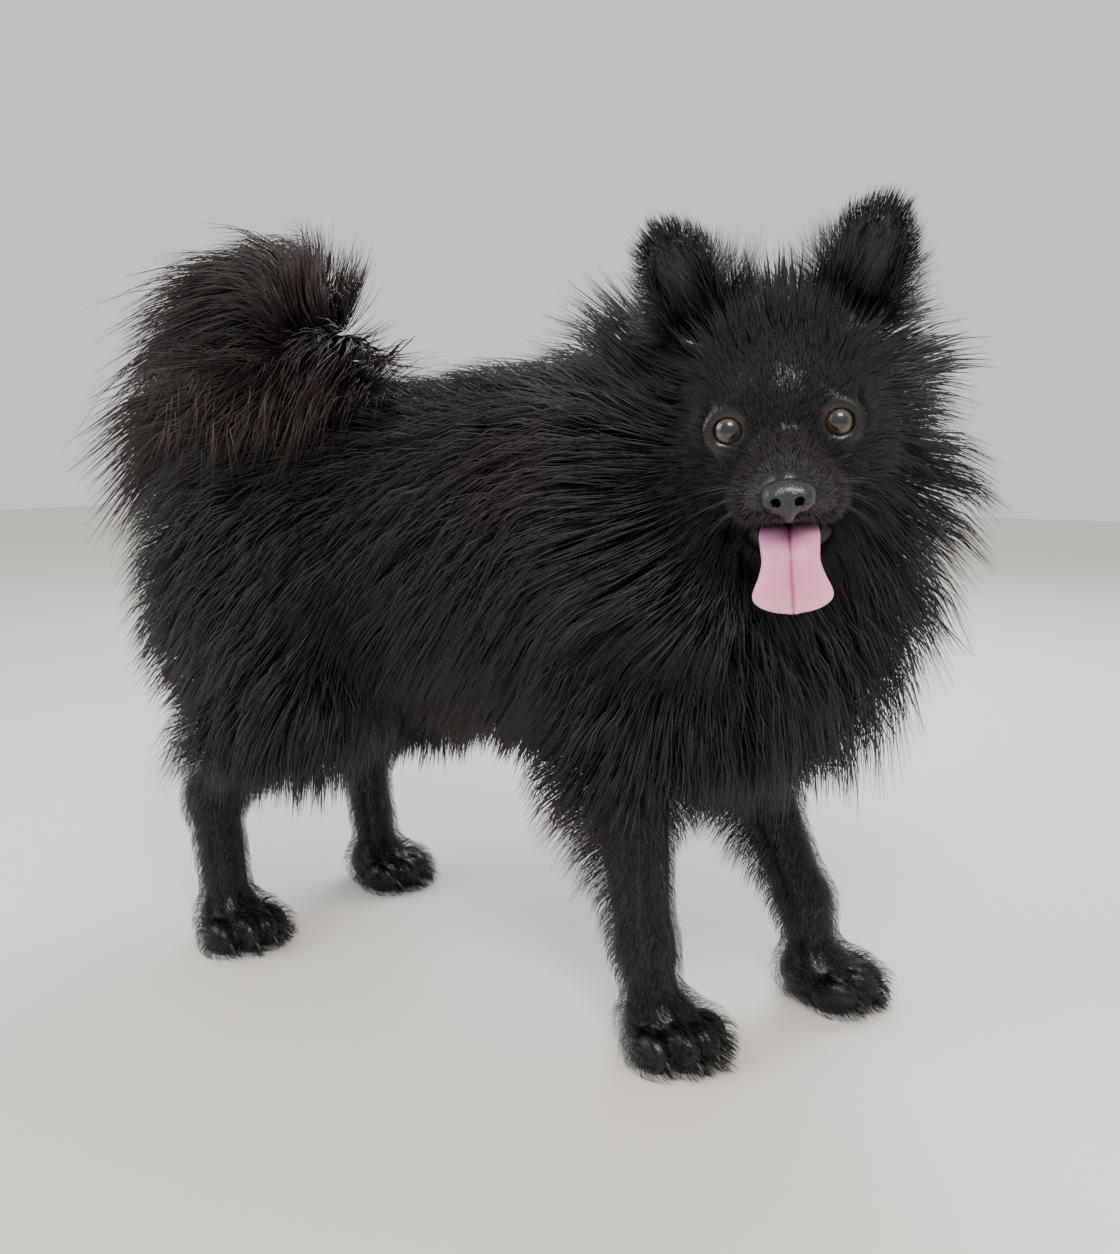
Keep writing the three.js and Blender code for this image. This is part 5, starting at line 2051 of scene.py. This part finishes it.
class TaperTree:
    """A geometry-nodes tree that gives every path a round body tapering from root to tip."""

    def __init__(self, name: str) -> None:
        """Build the tree with inputs for its sides, its thickness and its material.

        Args:
            name: The tree's name.
        """
        tree = bpy.data.node_groups.new(name, "GeometryNodeTree")
        face = tree.interface
        face.new_socket("Geometry", in_out="INPUT", socket_type="NodeSocketGeometry")
        sides = face.new_socket("Sides", in_out="INPUT", socket_type="NodeSocketInt")
        thick = face.new_socket("Root radius", in_out="INPUT", socket_type="NodeSocketFloat")
        finish = face.new_socket("Finish", in_out="INPUT", socket_type="NodeSocketMaterial")
        face.new_socket("Geometry", in_out="OUTPUT", socket_type="NodeSocketGeometry")
        self.sides, self.thick, self.finish = sides.identifier, thick.identifier, finish.identifier
        given = add_node(tree, "NodeGroupInput")
        paths = add_node(tree, "GeometryNodeMeshToCurve", inputs={"Mesh": given.outputs["Geometry"]})
        share = add_node(tree, "GeometryNodeSplineParameter")
        thin = add_node(
            tree,
            "ShaderNodeMapRange",
            inputs={"Value": share.outputs["Factor"], "To Min": 1.0, "To Max": 0.08},
        )
        radius = add_node(
            tree,
            "ShaderNodeMath",
            {"operation": "MULTIPLY"},
            {0: thin.outputs[0], 1: given.outputs["Root radius"]},
        )
        tapered = add_node(
            tree,
            "GeometryNodeSetCurveRadius",
            inputs={"Curve": paths.outputs[0], "Radius": radius.outputs[0]},
        )
        outline = add_node(
            tree,
            "GeometryNodeCurvePrimitiveCircle",
            inputs={"Resolution": given.outputs["Sides"], "Radius": 1.0},
        )
        tube = add_node(
            tree,
            "GeometryNodeCurveToMesh",
            inputs={"Curve": tapered.outputs[0], "Profile Curve": outline.outputs[0], "Fill Caps": True},
        )
        if "Scale" in tube.inputs:
            tree.links.new(radius.outputs[0], tube.inputs["Scale"])
        smooth = add_node(tree, "GeometryNodeSetShadeSmooth", inputs={"Geometry": tube.outputs[0]})
        real = add_node(tree, "GeometryNodeRealizeInstances", inputs={"Geometry": smooth.outputs[0]})
        dressed = add_node(
            tree,
            "GeometryNodeSetMaterial",
            inputs={"Geometry": real.outputs[0], "Material": given.outputs["Finish"]},
        )
        add_node(tree, "NodeGroupOutput", inputs={"Geometry": dressed.outputs[0]})
        self.tree = tree

    def grow(
        self,
        name: str,
        paths: Array,
        shift: Array,
        radius_mm: float,
        sides: int,
        material: bpy.types.Material,
    ) -> bpy.types.Object:
        """Grow tapering bodies along paths of equal point counts.

        Args:
            name: The new piece's name.
            paths: One row of points for each path, in the dog's frame.
            shift: The part's shift.
            radius_mm: Radius at the root.
            sides: Sides of the section.
            material: The finish.

        Returns:
            The finished piece as a plain mesh.
        """
        n, steps = paths.shape[:2]
        start = np.arange(n)[:, None] * steps + np.arange(steps - 1)[None]
        edges = np.stack([start.ravel(), start.ravel() + 1], axis=1)
        mesh = bpy.data.meshes.new(f"{name}_paths")
        mesh.from_pydata(((paths.reshape(-1, 3) + shift) * MM).tolist(), edges.tolist(), [])
        carrier = bpy.data.objects.new(f"{name}_paths", mesh)
        bpy.context.scene.collection.objects.link(carrier)
        modifier = carrier.modifiers.new("taper", "NODES")
        modifier.node_group = self.tree
        modifier[self.sides] = sides
        modifier[self.thick] = radius_mm * MM
        modifier[self.finish] = material
        graph = bpy.context.evaluated_depsgraph_get()
        result = bpy.data.meshes.new_from_object(carrier.evaluated_get(graph))
        result.name = name
        carrier.modifiers.remove(modifier)
        bpy.data.objects.remove(carrier)
        piece = bpy.data.objects.new(name, result)
        bpy.context.scene.collection.objects.link(piece)
        return piece


@dataclass
class Claws:
    """Four dull claws on each paw, curving down from the toes."""

    shift: Array
    tree: TaperTree
    bend: tuple[Triple, ...] = ((0.0, 0.0, 0.0), (3.2, 0.0, -0.6), (5.8, 0.0, -2.8), (7.2, 0.0, -5.6))

    def build(self) -> None:
        """Grow the claws of all four paws."""
        paths = []
        for leg in LEGS:
            for x, y, reach, tall in leg.toe_places():
                start = vec(x + reach - 3.0, y, 7.5)
                paths.append(leg.from_foot(start + np.array(self.bend)))
        material = HornMaterial("claw_horn", "4a4644", 0.38).make()
        piece = self.tree.grow("claws", np.array(paths), self.shift, 1.7, 12, material)
        carry(piece, Slot.COAT)


@dataclass
class Whiskers:
    """Whiskers on the lips, the cheeks and over the eyes."""

    shift: Array
    tree: TaperTree
    anatomy: Anatomy
    seed: int = 5
    droop: float = 0.18

    def build(self) -> None:
        """Grow the whiskers from the muzzle and the brow."""
        rng = np.random.default_rng(self.seed)
        paths = []
        for s in SIDES:
            for row in range(3):
                for place in range(4):
                    root = vec(19.0 - 5.0 * place, s * 19.0, -22.0 - 4.0 * row)
                    way = unit(vec(-0.1 - 0.15 * place, s * 1.0, 0.05 - 0.3 * row) + rng.normal(0, 0.08, 3))
                    paths.append(self.path(root, way, rng.uniform(16.0, 26.0)))
            for place in range(3):
                root = vec(0.0, s * (17.0 + 3.0 * place), 13.0)
                way = unit(vec(0.55, s * 0.35, 0.75) + rng.normal(0, 0.1, 3))
                paths.append(self.path(root, way, rng.uniform(10.0, 15.0)))
        material = HornMaterial("whisker_keratin", "2a2625", 0.4).make()
        piece = self.tree.grow("whiskers", np.array(paths), self.shift, 0.16, 5, material)
        carry(piece, Slot.COAT)

    def path(self, root: Array, way: Array, length: float) -> Array:
        """One whisker's bent path from just under the skin.

        Args:
            root: Near its root, in the head's frame.
            way: The way that it points.
            length: Its length.

        Returns:
            Seven points in the dog's frame.
        """
        at = HEAD.out(root)[None]
        for _ in range(6):
            at = at - slope(self.anatomy.flesh, at) * self.anatomy.flesh(at)[:, None]
        t = np.linspace(-0.06, 1.0, 7)[:, None]
        droop = vec(0.0, 0.0, -1.0) * length * self.droop * np.maximum(t, 0.0) ** 2
        return at + HEAD.turn(way) * length * t + droop


@dataclass
class Studio:
    """The pale floor, the soft lights and the camera at the photograph's angle."""

    shift: Array
    focal: float = 1200.0 / 1254.0 * 36.0
    pitch: float = math.radians(8.9)
    azimuth: float = math.radians(31.0)
    place: Triple = (342.4, -517.4, 280.0)
    floor_half: float = 4.0
    aim: Triple = (0.02, 0.0, 0.2)

    def build(self) -> None:
        """Set up everything that isn't the dog."""
        self.camera()
        self.floor()
        self.lights()

    def camera(self) -> None:
        """The camera, level with the eyes and looking slightly down."""
        data = bpy.data.cameras.new("camera")
        data.lens = self.focal
        data.sensor_width = 36.0
        data.sensor_fit = "AUTO"
        data.clip_start = 0.01
        eye = bpy.data.objects.new("camera", data)
        bpy.context.scene.collection.objects.link(eye)
        c, s = math.cos(self.azimuth), math.sin(self.azimuth)
        forward = Vector((-s * math.cos(self.pitch), c * math.cos(self.pitch), -math.sin(self.pitch)))
        right = Vector((c, s, 0.0))
        up = right.cross(forward)
        place = Vector((vec(*self.place) + self.shift) * MM)
        eye.matrix_world = Matrix((right, up, -forward)).transposed().to_4x4()
        eye.location = place
        bpy.context.scene.camera = eye

    def floor(self) -> None:
        """A plain pale floor."""
        mesh = bpy.data.meshes.new("floor")
        half = self.floor_half
        corners = [(-half, -half, 0.0), (half, -half, 0.0), (half, half, 0.0), (-half, half, 0.0)]
        mesh.from_pydata(corners, [], [(0, 1, 2, 3)])
        material, tree = new_material("pale_floor")
        shader = add_node(
            tree,
            "ShaderNodeBsdfPrincipled",
            inputs={"Base Color": linear("e4dfd8"), "Roughness": 0.6},
        )
        finish_material(tree, shader)
        mesh.materials.append(material)
        floor = bpy.data.objects.new("floor", mesh)
        bpy.context.scene.collection.objects.link(floor)
        floor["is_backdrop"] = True

    def lights(self) -> None:
        """A pale world, a large soft key over the camera and softer lights beside and behind."""
        world = bpy.data.worlds.new("studio")
        world.use_nodes = True
        background = world.node_tree.nodes["Background"]
        background.inputs["Color"].default_value = linear("e6e4e1")
        background.inputs["Strength"].default_value = 1.1
        bpy.context.scene.world = world
        self.area("key", (0.75, -1.0, 1.35), 0.6, 26.0, "fff8f0")
        self.area("side", (-0.9, -0.9, 0.9), 0.8, 9.0, "eef4ff")
        self.area("rim", (-0.2, 1.2, 1.3), 0.9, 22.0, "f2f6ff")

    def area(self, name: str, place: Triple, size: float, power: float, colour: str) -> None:
        """One square soft light aimed at the dog.

        Args:
            name: Its name.
            place: Where it stands, in metres.
            size: Its side, in metres.
            power: Its power in watts.
            colour: Its sRGB hex colour.
        """
        data = bpy.data.lights.new(name, "AREA")
        data.size = size
        data.energy = power
        data.color = linear(colour)[:3]
        lamp = bpy.data.objects.new(name, data)
        bpy.context.scene.collection.objects.link(lamp)
        lamp.location = place
        aim = Vector(self.aim) - lamp.location
        lamp.rotation_euler = aim.to_track_quat("-Z", "Y").to_euler()


def plain_box(box: Sequence[Sequence[float]]) -> list[list[float]]:
    """A box as plain lists of numbers."""
    return [[float(v) for v in corner] for corner in box]


def main() -> None:
    """Build the dog and its studio in order."""
    logging.basicConfig(level=logging.INFO, format="%(name)s %(message)s")
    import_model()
    solids = plain_box(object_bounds())
    shift = dog_shift()
    LOG.info("part shift %s mm", np.round(shift, 2).tolist())
    Studio(shift).build()
    anatomy = Anatomy()
    skin = Skin(anatomy, shift)
    skin.build()
    Eyes(shift).build()
    Nose(shift).build()
    Tongue(shift).build()
    tree = TaperTree("tapering_keratin")
    Claws(shift, tree).build()
    Whiskers(shift, tree, anatomy).build()
    low = np.array(solids[0]) / MM - shift
    high = np.array(solids[1]) / MM - shift
    Tufts(anatomy, CoatLie(), skin, shift, low, high).build(BlackGuardHair().make())


if __name__ == "__main__":
    main()
